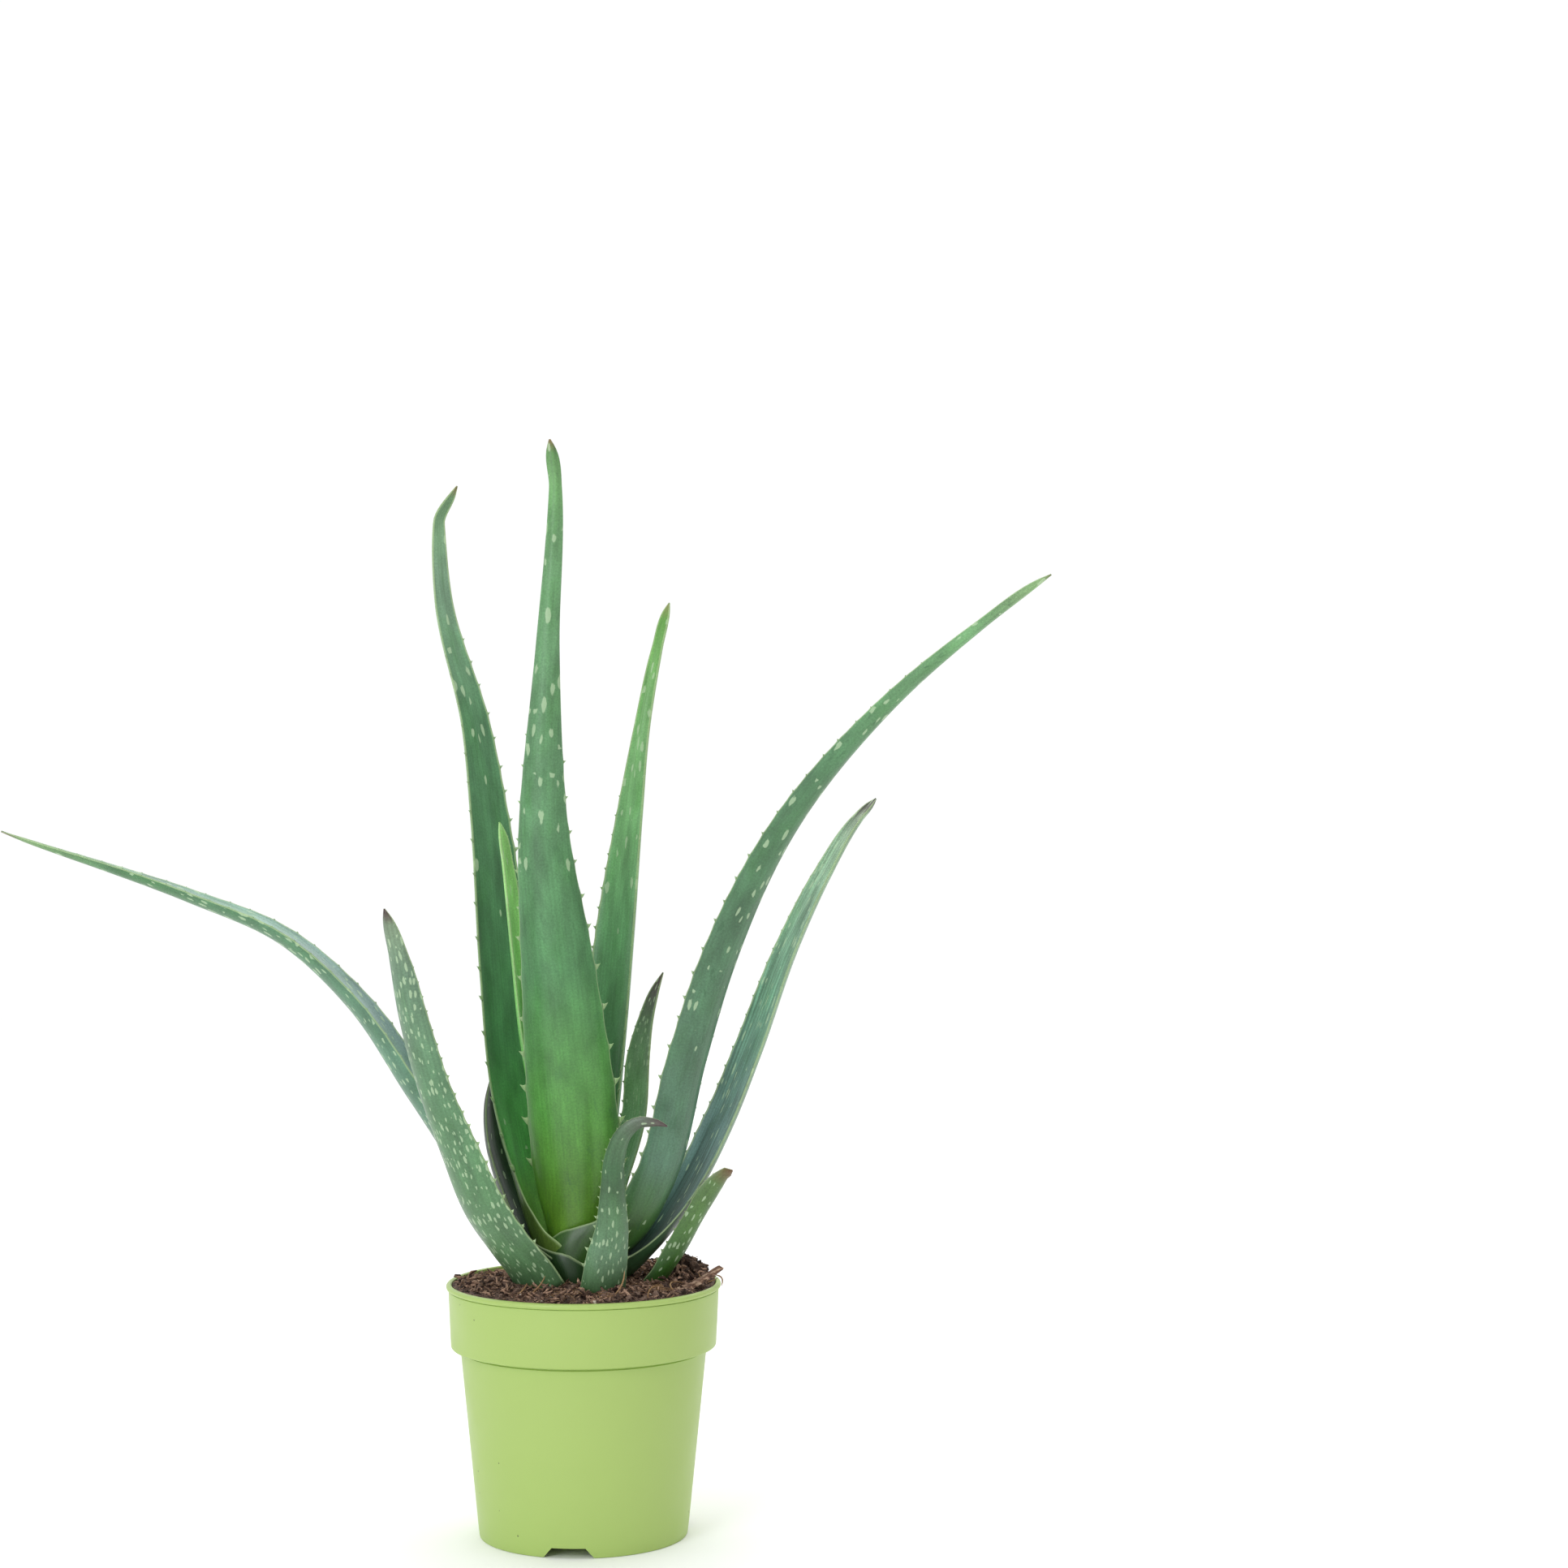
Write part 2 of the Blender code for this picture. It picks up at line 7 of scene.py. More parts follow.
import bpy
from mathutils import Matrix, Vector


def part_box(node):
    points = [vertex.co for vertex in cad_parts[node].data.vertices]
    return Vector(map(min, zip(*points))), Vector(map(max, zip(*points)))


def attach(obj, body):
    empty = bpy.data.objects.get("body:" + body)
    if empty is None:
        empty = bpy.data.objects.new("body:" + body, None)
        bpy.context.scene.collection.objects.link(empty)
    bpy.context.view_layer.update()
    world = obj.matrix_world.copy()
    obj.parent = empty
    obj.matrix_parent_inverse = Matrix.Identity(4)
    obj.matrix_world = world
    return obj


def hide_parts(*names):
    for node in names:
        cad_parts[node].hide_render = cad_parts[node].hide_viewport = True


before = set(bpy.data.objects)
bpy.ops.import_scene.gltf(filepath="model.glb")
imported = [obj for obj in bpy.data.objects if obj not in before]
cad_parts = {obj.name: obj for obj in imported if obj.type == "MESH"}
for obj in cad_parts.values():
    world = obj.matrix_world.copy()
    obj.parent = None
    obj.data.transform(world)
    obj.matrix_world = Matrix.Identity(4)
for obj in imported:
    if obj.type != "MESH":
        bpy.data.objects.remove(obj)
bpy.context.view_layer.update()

import math
import random
from dataclasses import dataclass

import bpy
import numpy as np
from bpy.props import FloatProperty, FloatVectorProperty, IntProperty, PointerProperty
from mathutils import Matrix, Vector, noise
from mathutils.bvhtree import BVHTree

bl_info = {
    "name": "Potted aloe",
    "version": (1, 0, 0),
    "blender": (4, 5, 0),
    "location": "3D view > Sidebar > Aloe",
    "description": "Models and colours a potted aloe around its frame",
    "category": "Object",
}

MM = 0.001

# ---- places taken from the frame ----------------------------------------------------------------
POT_LOW, POT_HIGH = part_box("pot")
POT_AXIS = 0.5 * (POT_LOW + POT_HIGH)
RIM_RADIUS = 0.5 * (POT_HIGH.x - POT_LOW.x)
POT_HEIGHT = POT_HIGH.z
SOIL_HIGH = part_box("soil")[1]
STEM_LOW, STEM_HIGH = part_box("stem")
CROWN = Vector((0.5 * (STEM_LOW.x + STEM_HIGH.x), 0.5 * (STEM_LOW.y + STEM_HIGH.y), SOIL_HIGH.z))
CHIP_LOW, CHIP_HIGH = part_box("wood_chip")

# ---- details of the pot and the chip ------------------------------------------------------------
STANDING_RING = 2.2 * MM    # its width
FLOOR_THICKNESS = 1.5 * MM
BEAD_ROUND = 1.1 * MM
NOTCH_COUNT = 3
FIRST_NOTCH = -94.5         # compass direction of the notch at the front, in degrees
NOTCH_LENGTH = 9.0 * MM     # inwards from the foot
DRAIN_COUNT = 6
DRAIN_RADIUS = 3.5 * MM
DRAIN_CIRCLE = 30.0 * MM
CHIP_TURN = math.radians(30.0)
CHIP_RISE = math.radians(24.0)
CHIP_WIDTH = 4.6 * MM
CHIP_THICKNESS = 2.6 * MM

# ---- how finely things are made -----------------------------------------------------------------
TURNED_STEPS = 192
RING_SPACING = 2.2          # along a leaf, in millimetres
HALF_ARC_STEPS = 12         # from a leaf's midline to its margin
EDGE = 0.8                  # how thick a leaf is along its margins, in millimetres
SOIL_RING_STEP = 0.8 * MM
SEED = 11


def linear(hex_colour):
    """An sRGB hex colour as linear red, green and blue."""
    parts = [int(hex_colour[at:at + 2], 16) / 255.0 for at in (1, 3, 5)]
    return tuple(part / 12.92 if part <= 0.04045 else ((part + 0.055) / 1.055) ** 2.4 for part in parts)


# ---- the leaves ---------------------------------------------------------------------------------
@dataclass
class Leaf:
    """One leaf. Rows run from base to tip: x, y, z of the section's middle, half its width, how far it curves
    round to each side in degrees, its thickness, and how far it is turned about its own length in degrees.
    Colours and flecks are stops along the leaf, from 0 at the base to 1 at the tip."""
    node: str
    slot: str
    facing: float           # compass direction that the back faces at the base, in degrees
    rows: list
    back: list              # colour stops on the rounded outer side; on two leaves the darkest stops at the foot are painted shade
    face: list              # colour stops on the hollow inner side; on one leaf the pale blue-grey is partly painted sheen
    flecks: list            # share of the fleck cells that are filled
    fleck_size: tuple       # cell across and along, in millimetres
    teeth: tuple            # first and last along the margin, spacing, length, in millimetres
    streaks: float = 0.10   # how strong the fine lines along the leaf are
    face_streaks: float = 0.12
    scuffs: float = 0.0     # how much of the skin is worn darker


LEAVES = [
    Leaf("leaf_heart_young", "young_leaf", 150,
         [(-1, 0, 0, 5, 150, 1.4, 0), (-2, 0, 22, 5.4, 140, 1.4, 0), (-12.5, 0, 60, 6.5, 92, 2.6, 0),
          (-22, 1, 104, 6.2, 68, 2.8, 0), (-26.4, 2, 140, 5.3, 62, 2.4, 0),
          (-30.9, 2.5, 179, 3.8, 62, 1.9, 0), (-33.6, 2.5, 196.5, 1.6, 62, 1.2, 0),
          (-34, 2.5, 199, 0.4, 62, 0.7, 0)],
         back=[(0.0, "#69B046"), (0.5, "#76C75D"), (1.0, "#9BDA7A")],
         face=[(0.0, "#69B046"), (0.5, "#79C962"), (1.0, "#9BDA7A")],
         flecks=[(0.0, 0.0), (0.5, 0.25), (1.0, 0.5)], fleck_size=(3, 8), teeth=(70, 196, 5, 1.2)),
    Leaf("leaf_back_right", "young_leaf", 50,
         [(1, 1, 0, 8, 110, 1.5, 0), (2, 2, 18, 8.6, 105, 1.6, 0), (9, 9, 50, 10, 76, 3.2, 0),
          (13, 18, 96, 12.3, 62, 5, 0), (17.4, 28, 149, 11.5, 60, 5.5, 0),
          (22.9, 37.5, 203, 7.7, 60, 4.8, 0), (27.3, 44, 240, 4.9, 60, 3.8, 0),
          (33.8, 50, 277, 3.3, 62, 2.6, 0), (37.9, 53.4, 295, 1.7, 62, 1.4, 0),
          (38.6, 54, 298, 0.4, 62, 0.7, 0)],
         back=[(0.0, "#3F7038"), (0.4, "#538B57"), (0.8, "#6BA462"), (1.0, "#7BA55E")],
         face=[(0.0, "#3A6A34"), (0.3, "#538A59"), (0.5, "#67A56B"), (0.8, "#7EB572"), (0.97, "#68A04A"),
               (1.0, "#8E8A55")],
         flecks=[(0.0, 0.0), (0.45, 0.05), (0.7, 0.35), (1.0, 0.5)], fleck_size=(4, 9),
         teeth=(60, 215, 10, 1.9)),
    Leaf("leaf_front_tall", "leaf", 270,
         [(0, -1, 0, 11, 110, 1.6, 0), (0.5, -4, 18, 13, 98, 2.4, 0), (0.7, -7, 35, 17.5, 76, 3.6, 0),
          (-0.5, -13.9, 64, 19.4, 60, 5.5, 0), (-6.5, -22.8, 134, 16, 55, 6.5, 0),
          (-12.6, -28.2, 204, 10.1, 57, 6, 0), (-10.2, -33, 273, 5.2, 62, 4.2, 0),
          (-6.3, -39, 341, 2.8, 66, 2.4, 0), (-8.1, -41.2, 358.5, 1.7, 66, 1.4, 0),
          (-8.5, -41.5, 361.5, 0.4, 66, 0.7, 0)],
         back=[(0.04, "#6A962B"), (0.11, "#57882C"), (0.2, "#56933F"), (0.38, "#4F8552"),
               (0.62, "#5D8B60"), (0.85, "#699968"), (0.985, "#6B9A5E"), (1.0, "#8A7448")],
         face=[(0.0, "#6E9A30"), (0.3, "#4C8146"), (1.0, "#659462")],
         flecks=[(0.0, 0.0), (0.46, 0.0), (0.54, 0.3), (1.0, 0.55)], fleck_size=(3.9, 9.5),
         teeth=(44, 240, 18, 3.2), scuffs=0.5),
    Leaf("leaf_back_left_tall", "leaf", 127,
         [(-2, 2, -4, 14.4, 146, 1.5, 0), (-2, 2, 5, 15.4, 144, 1.5, 0),
          (-3.5, 2.5, 12, 16.4, 134, 1.6, 4), (-8, 4.5, 19.5, 17, 102, 1.9, 10),
          (-13.5, 8.5, 28, 16.4, 84, 2.4, 14), (-19.5, 13, 42, 15, 70, 3.4, 12),
          (-27, 17.5, 70, 14.8, 64, 5, 5), (-34.8, 26, 130, 13.4, 60, 6, 0),
          (-42.8, 37, 200, 9.8, 58, 5.5, 0), (-49, 43, 240, 7.5, 60, 4.5, 0),
          (-64.5, 51, 299, 4.6, 62, 3.2, 0), (-67, 56.5, 334, 3, 65, 2.2, 0),
          (-60.5, 58.6, 348, 1.5, 65, 1.3, 0), (-58.6, 59, 351.6, 0.4, 65, 0.7, 0)],
         back=[(0.0, "#5E7A2C"), (0.1, "#627F34"), (0.2, "#4F7E4A"), (0.5, "#6E9878"), (0.8, "#8AAC98"),
               (0.985, "#6E9468"), (1.0, "#85704A")],
         face=[(0.0, "#9CC44B"), (0.1, "#80BF51"), (0.17, "#5AAD54"), (0.3, "#44844A"), (0.45, "#407447"),
               (0.7, "#55865C"), (0.88, "#7A9C7E"), (0.985, "#6E9468"), (1.0, "#85704A")],
         flecks=[(0.0, 0.0), (0.5, 0.03), (0.7, 0.25), (1.0, 0.35)], fleck_size=(4.5, 10),
         teeth=(56, 300, 15, 2.6)),
    Leaf("leaf_right_arching", "glaucous_leaf", 335,
         [(1, -1, -6, 15, 140, 1.5, 0), (1, -1, 3, 16.2, 138, 1.5, 0), (3, -1.8, 8, 17, 122, 1.7, -2),
          (9.5, -4, 12.5, 16.8, 96, 2.2, -8), (18, -7.2, 17.5, 15, 82, 2.8, -14),
          (26.5, -10.8, 26, 13, 73, 3.3, -19), (35, -14, 40.5, 11.7, 66, 4, -23),
          (50.7, -21.7, 98, 10.1, 58, 5.5, -30), (63.2, -26.5, 138, 9.3, 56, 5.5, -30),
          (91.2, -38.5, 196.2, 7.2, 58, 4.8, -28), (133, -56, 247, 4.9, 60, 4, -25),
          (171.8, -74, 280.6, 3.1, 64, 2.6, -20), (196, -86.3, 298.6, 1.4, 64, 1.2, -20),
          (199.5, -88, 300.9, 0.4, 64, 0.7, -20)],
         # The darkest stops at the foot are painted shade, darkened where the base sits deep in the cup of
         # leaf bases.
         back=[(0.0, "#284616"), (0.06, "#365A21"), (0.11, "#3C642C"), (0.13, "#3F6A30"),
               (0.2, "#557C62"), (0.3, "#4E7457"), (0.5, "#4A7450"), (0.7, "#538357"), (0.9, "#6EA06A"),
               (0.985, "#86A873"), (1.0, "#8F7850")],
         face=[(0.0, "#46702E"), (0.12, "#3F7244"), (0.5, "#4B7A58"), (1.0, "#6F9C70")],
         flecks=[(0.0, 0.0), (0.3, 0.04), (0.6, 0.4), (1.0, 0.6)], fleck_size=(2.8, 7.5),
         teeth=(60, 330, 12, 1.6), scuffs=0.9),
    Leaf("leaf_left_small", "leaf", 165,
         [(-2, 0, -9, 17.5, 150, 1.4, 0), (-2, 0, -2, 18, 146, 1.4, 0), (-4, 0.3, 2, 18, 122, 1.5, 0),
          (-9, 1.5, 6, 16.8, 100, 1.6, 0), (-15.5, 3.5, 11, 14.2, 82, 1.7, 0),
          (-22, 7, 18.5, 11.6, 70, 1.9, 0), (-28.5, 12, 29, 9.2, 62, 2.2, 0),
          (-34.8, 16.3, 43, 7.6, 62, 2.4, 0), (-39.5, 19, 58.6, 6, 62, 2.4, 0),
          (-40.8, 20, 73.5, 4, 64, 1.8, 0), (-39.3, 19.5, 86.5, 0.4, 64, 0.7, 0)],
         # The darkest stops at the base of the back are painted shade, low in the cup between the larger
         # leaves.
         back=[(0.0, "#193611"), (0.15, "#1F4017"), (0.3, "#253E1F"), (0.4, "#25391F"), (0.8, "#2A4426"),
               (1.0, "#3A3A2C")],
         face=[(0.0, "#2A4A2C"), (0.3, "#2C5438"), (0.6, "#1F4026"), (1.0, "#34452E")],
         flecks=[(0.0, 0.0), (0.5, 0.1), (1.0, 0.25)], fleck_size=(3, 7), teeth=(40, 90, 7, 0.8),
         face_streaks=0.3),
    Leaf("leaf_back_right_small", "leaf", 60,
         [(6, 8, 0, 12, 80, 1.6, 0), (8, 12, 12, 10.5, 70, 2, 0), (15, 22, 35, 7.8, 60, 3, 0),
          (24.5, 29.5, 66, 6.6, 62, 3.6, 0), (26.4, 36.5, 94, 6.1, 60, 3.2, 0),
          (29, 40.5, 109, 4.2, 62, 2.6, 0), (32.8, 45, 122.6, 2.4, 64, 1.6, 0),
          (36, 47, 130.4, 0.4, 64, 0.7, 0)],
         back=[(0.0, "#436745"), (0.6, "#5A7A57"), (1.0, "#4E3C38")],
         face=[(0.0, "#436C3F"), (0.3, "#80B284"), (0.6, "#85B27F"), (0.8, "#749270"), (0.93, "#605E57"),
               (1.0, "#4C3836")],
         flecks=[(0.0, 0.1), (0.5, 0.45), (0.9, 0.5), (1.0, 0.1)], fleck_size=(2.3, 5),
         teeth=(45, 122, 8, 1.3)),
    Leaf("leaf_right_lower", "glaucous_leaf", 5,
         [(8, 1, 0, 17, 80, 1.8, 0), (19, 1.5, 5, 15.5, 74, 2, 4), (30, 2.5, 14, 13.2, 68, 2.6, 12),
          (43, 3.8, 29, 11.3, 63, 4, 21), (63.3, 6.5, 66, 10.2, 62, 4.8, 30),
          (77.2, 9, 100, 9.5, 60, 4.8, 30), (92.8, 11.5, 142, 8, 60, 4.2, 28),
          (108.5, 14.5, 175, 6.4, 62, 3.4, 25), (123.8, 17.5, 200, 4.1, 64, 2.2, 20),
          (129.9, 19.1, 207, 2.2, 64, 1.4, 20), (131.5, 19.5, 209.2, 0.4, 64, 0.7, 20)],
         back=[(0.0, "#24401F"), (0.1, "#2E4E30"), (0.3, "#5F8262"), (0.6, "#7FA482"), (0.96, "#86A583"),
               (1.0, "#3F3632")],
         face=[(0.0, "#22382A"), (0.15, "#3E5B54"), (0.35, "#65847F"), (0.6, "#6E9E81"), (0.9, "#8EB090"),
               (0.97, "#55584A"), (1.0, "#332D2A")],
         flecks=[(0.0, 0.0), (0.3, 0.2), (0.6, 0.4), (1.0, 0.4)], fleck_size=(1.9, 9),
         teeth=(50, 215, 9, 1.1), face_streaks=0.45),
    Leaf("leaf_left_arching", "leaf", 196,
         [(-7, -1, 0, 15, 78, 1.8, 0), (-14, -4, 7, 13, 68, 2.2, 0), (-24.5, -8, 17, 12, 62, 2.8, 0),
          (-41, -11.5, 41, 12.8, 70, 3.6, -7), (-67.3, -14, 82, 13, 72, 4.8, -13),
          (-95, -15, 122, 11, 68, 4.8, -14), (-125.7, -16, 149.5, 9.1, 66, 4.2, -14),
          (-164.6, -17, 166.5, 7.4, 64, 3.4, -12), (-205.5, -18, 181, 4.7, 64, 2.6, -8),
          (-222, -18.4, 186.4, 3.3, 64, 2, -8), (-239, -18.8, 192.3, 1.7, 64, 1.3, -8),
          (-246.3, -19, 195.1, 0.4, 64, 0.7, -8)],
         back=[(0.0, "#2F5030"), (0.2, "#4E7A5E"), (0.4, "#5A866A"), (0.6, "#52805C"), (0.85, "#4F7F52"),
               (0.98, "#7A9A68"), (1.0, "#7E5C40")],
         # The pale blue-grey stops in the middle of the face are partly painted sheen of the light from
         # above, over the face's own blue-green.
         face=[(0.0, "#3A5A44"), (0.25, "#6E8E88"), (0.45, "#8CA8A4"), (0.7, "#88AE9C"),
               (1.0, "#7AA082")],
         flecks=[(0.0, 0.3), (0.4, 0.6), (0.7, 0.5), (1.0, 0.5)], fleck_size=(2.2, 6.5),
         teeth=(70, 300, 12, 1.1)),
    Leaf("leaf_front_left", "glaucous_leaf", 226,
         [(-16.5, -17, -3, 15.8, 56, 2.6, 0), (-20.5, -18.8, 4.5, 15.4, 52, 3.2, 0),
          (-28, -22.4, 15, 14.8, 50, 4, 0), (-38, -27.8, 30.5, 14.2, 54, 5, 0),
          (-49.3, -35.8, 59, 12.2, 56, 5.5, 0), (-59.3, -44, 88, 10.2, 56, 5, 0),
          (-66, -53, 116, 8.8, 58, 4.3, 0), (-70.8, -61.5, 143.5, 5.9, 60, 3, 0),
          (-74.5, -67, 161, 2.1, 60, 1.4, 0), (-75, -68, 164, 0.4, 60, 0.7, 0)],
         back=[(0.0, "#456740"), (0.12, "#598056"), (0.3, "#558054"), (0.6, "#5A845E"), (0.85, "#648468"),
               (0.965, "#74886C"), (0.985, "#5E5A4C"), (1.0, "#4E3A34")],
         face=[(0.0, "#33522F"), (0.5, "#557E5C"), (1.0, "#6E8F70")],
         flecks=[(0.0, 0.75), (0.4, 0.8), (0.6, 0.6), (0.93, 0.7), (1.0, 0.0)], fleck_size=(1.9, 5.6),
         teeth=(20, 165, 9, 1.6), streaks=0.14),
    Leaf("leaf_front_small", "glaucous_leaf", 285,
         [(13.6, -28.8, -2, 10, 56, 3.0, 0), (14.5, -30, 5, 9.6, 55, 3.8, 0),
          (15.8, -31.2, 14, 8.8, 56, 4.2, 0), (17.6, -32.8, 24.3, 7.3, 58, 4.2, 0),
          (18.2, -36, 42, 5.4, 60, 3.8, 0), (19.6, -39.3, 59, 4.3, 62, 3, 0),
          (23.2, -41, 67.5, 3.6, 64, 2.6, 0), (29, -42.2, 72, 2.9, 66, 2, 0),
          (36, -42.5, 72.3, 2, 66, 1.4, 0), (41.3, -42.5, 71, 0.4, 66, 0.7, 0)],
         back=[(0.0, "#42623A"), (0.2, "#5E8460"), (0.38, "#547C53"), (0.5, "#3F643E"), (0.6, "#3E6840"),
               (0.75, "#4D6F4C"), (0.88, "#596455"), (1.0, "#5A4448")],
         face=[(0.0, "#34522E"), (0.6, "#4F7350"), (1.0, "#5A4448")],
         flecks=[(0.0, 0.85), (0.35, 0.6), (0.5, 0.2), (1.0, 0.1)], fleck_size=(1.8, 5),
         teeth=(12, 80, 5.6, 1.6), streaks=0.14),
    Leaf("leaf_right_small", "young_leaf", 340,
         [(33, -5, -4, 6.5, 62, 2.6, -20), (37.5, -6, 2, 6, 62, 2.9, -20),
          (43.8, -7, 12, 5.8, 60, 3.4, -30), (52, -9, 27, 5.2, 60, 3.4, -35),
          (60.5, -10.5, 41, 5, 60, 2.8, -35), (64.6, -11.5, 46, 3.4, 62, 2, -35),
          (67.8, -11.9, 48.1, 1.7, 62, 1.3, -35), (68.4, -12, 48.5, 0.4, 62, 0.7, -35)],
         back=[(0.0, "#2C4A1C"), (0.2, "#305D1C"), (0.5, "#4D7735"), (0.85, "#5A7B42"), (1.0, "#7A5A40")],
         face=[(0.0, "#2C4A1C"), (0.5, "#557F40"), (1.0, "#7A5A40")],
         flecks=[(0.0, 0.3), (0.5, 0.6), (0.95, 0.3), (1.0, 0.0)], fleck_size=(1.9, 5),
         teeth=(12, 62, 5.6, 1.1)),
]


# ---- settings that a user would change ----------------------------------------------------------
def colour_property(name, description, hex_colour):
    return FloatVectorProperty(name=name, description=description, subtype="COLOR", size=3,
                               min=0.0, max=1.0, default=linear(hex_colour))


def length_property(name, description, millimetres):
    return FloatProperty(name=name, description=description, default=millimetres * MM, min=0.0,
                         unit="LENGTH", subtype="DISTANCE", precision=5)


class AloePotSettings(bpy.types.PropertyGroup):
    lip_height: length_property("Lip height", "Height of the wide band under the bead", 27.7)
    lip_draft: length_property("Lip draft", "How much the band narrows from top to bottom", 1.1)
    bead_height: length_property("Bead height", "Height of the rolled bead on the rim", 2.3)
    bead_overhang: length_property("Bead overhang", "How far the bead stands out past the band", 1.0)
    step_in: length_property("Step", "From the band in to the tapering body", 4.1)
    foot_radius: length_property("Foot radius", "Radius of the pot where it stands", 45.5)
    wall: length_property("Wall", "Thickness of the plastic", 1.3)
    floor_raise: length_property("Floor raise", "From the standing surface up to the pot's floor", 5.2)
    notch_width: length_property("Notch width", "Width of each foot notch at the bottom", 22.0)
    notch_height: length_property("Notch height", "Height of each foot notch", 4.4)
    plastic: colour_property("Plastic", "Colour of the moulded plastic", "#AAC46B")


class AloeSoilSettings(bpy.types.PropertyGroup):
    crumbs: IntProperty(name="Crumbs", description="How many loose crumbs lie on the soil",
                        default=2000, min=0)
    shreds: IntProperty(name="Shreds", description="How many bits of coir and bark lie on it",
                        default=3800, min=0)
    hairs: IntProperty(name="Hairs", description="How many root hairs and fibres lie on it",
                       default=900, min=0)
    grains: IntProperty(name="Perlite", description="How many pale grains of perlite lie on it",
                        default=46, min=0)
    dark: colour_property("Dark peat", "Colour of the moist peat", "#33261F")
    brown: colour_property("Brown peat", "Colour of the drier crumbs", "#846A5B")
    straw: colour_property("Straw", "Colour of the dry fibres", "#B08D66")


class AloeLeafSettings(bpy.types.PropertyGroup):
    margin: colour_property("Margin", "Colour of the horny line along a leaf's edge", "#B4CC94")
    fleck: colour_property("Flecks", "Colour of the pale flecks on the skin", "#BCD6AC")
    tooth: colour_property("Teeth", "Colour of the soft teeth along the margins", "#C9DC9C")


class AloeStageSettings(bpy.types.PropertyGroup):
    lens: FloatProperty(name="Lens", description="Focal length of the camera", default=69.1, min=1.0)
    distance: length_property("Camera distance", "From the pot's axis to the camera", 1318.0)
    aside: length_property("Camera aside", "How far right of the pot's axis the camera stands", 87.6)
    height: length_property("Camera height", "Height of the camera above the floor", 327.7)
    room: FloatProperty(name="Room light", description="How bright the room behind the camera is",
                        default=0.48, min=0.0)
    floor: colour_property("Floor", "Colour of the floor", "#FFFFFF")


# ---- small helpers ------------------------------------------------------------------------------
def add_node(tree, kind, inputs=(), **settings):
    """Adds a node, sets its properties, and sets or links its inputs, by name or number or as a list."""
    node = tree.nodes.new("ShaderNode" + kind)
    for name, value in settings.items():
        setattr(node, name, value)
    for socket, value in (inputs.items() if isinstance(inputs, dict) else enumerate(inputs)):
        if isinstance(value, bpy.types.NodeSocket):
            tree.links.new(value, node.inputs[socket])
        else:
            node.inputs[socket].default_value = value
    return node


def set_stops(ramp_node, stops):
    """Gives a colour ramp its stops: a position and a hex colour or a grey value each."""
    ramp = ramp_node.color_ramp
    while len(ramp.elements) > 1:
        ramp.elements.remove(ramp.elements[-1])
    for number, (position, value) in enumerate(stops):
        element = ramp.elements[0] if number == 0 else ramp.elements.new(position)
        element.position = position
        element.color = (*linear(value), 1.0) if isinstance(value, str) else (value, value, value, 1.0)
    return ramp_node


def new_material(name):
    material = bpy.data.materials.new(name)
    material.use_nodes = True
    return material, material.node_tree, material.node_tree.nodes["Principled BSDF"]


def start_clean():
    """Back to object mode with nothing selected, because operators act on all that is selected."""
    if bpy.context.object and bpy.context.object.mode != "OBJECT":
        bpy.ops.object.mode_set(mode="OBJECT")
    bpy.ops.object.select_all(action="DESELECT")


def make_current(obj):
    start_clean()
    obj.select_set(True)
    bpy.context.view_layer.objects.active = obj


def apply_modifiers(obj):
    make_current(obj)
    for modifier in list(obj.modifiers):
        bpy.ops.object.modifier_apply(modifier=modifier.name)


def settle(obj, name):
    """Names a finished piece and moves its place into its mesh."""
    make_current(obj)
    bpy.ops.object.transform_apply(location=True, rotation=True, scale=True)
    obj.name = name
    obj.data.name = name


def own(obj, material, nodes):
    """A finished piece takes its material, rides on the frame and stands for its nodes."""
    obj.data.materials.clear()
    obj.data.materials.append(material)
    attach(obj, "root")
    if nodes:
        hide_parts(*nodes)


def extrude_rings(vertices, rings):
    """Draws a ring and extrudes it from ring to ring, as (radius, centre), then closes both ends."""
    radius, centre = rings[0]
    bpy.ops.mesh.primitive_circle_add(vertices=vertices, radius=radius, location=centre, fill_type="NGON")
    obj = bpy.context.object
    bpy.ops.object.mode_set(mode="EDIT")
    bpy.ops.mesh.select_all(action="SELECT")
    for next_radius, next_centre in rings[1:]:
        step = Vector(next_centre) - Vector(centre)
        bpy.ops.mesh.extrude_region_move(TRANSFORM_OT_translate={"value": step})
        factor = next_radius / radius
        bpy.ops.transform.resize(value=(factor, factor, factor), center_override=next_centre)
        radius, centre = next_radius, next_centre
    bpy.ops.mesh.select_all(action="SELECT")
    bpy.ops.mesh.normals_make_consistent(inside=False)
    bpy.ops.object.mode_set(mode="OBJECT")
    return obj


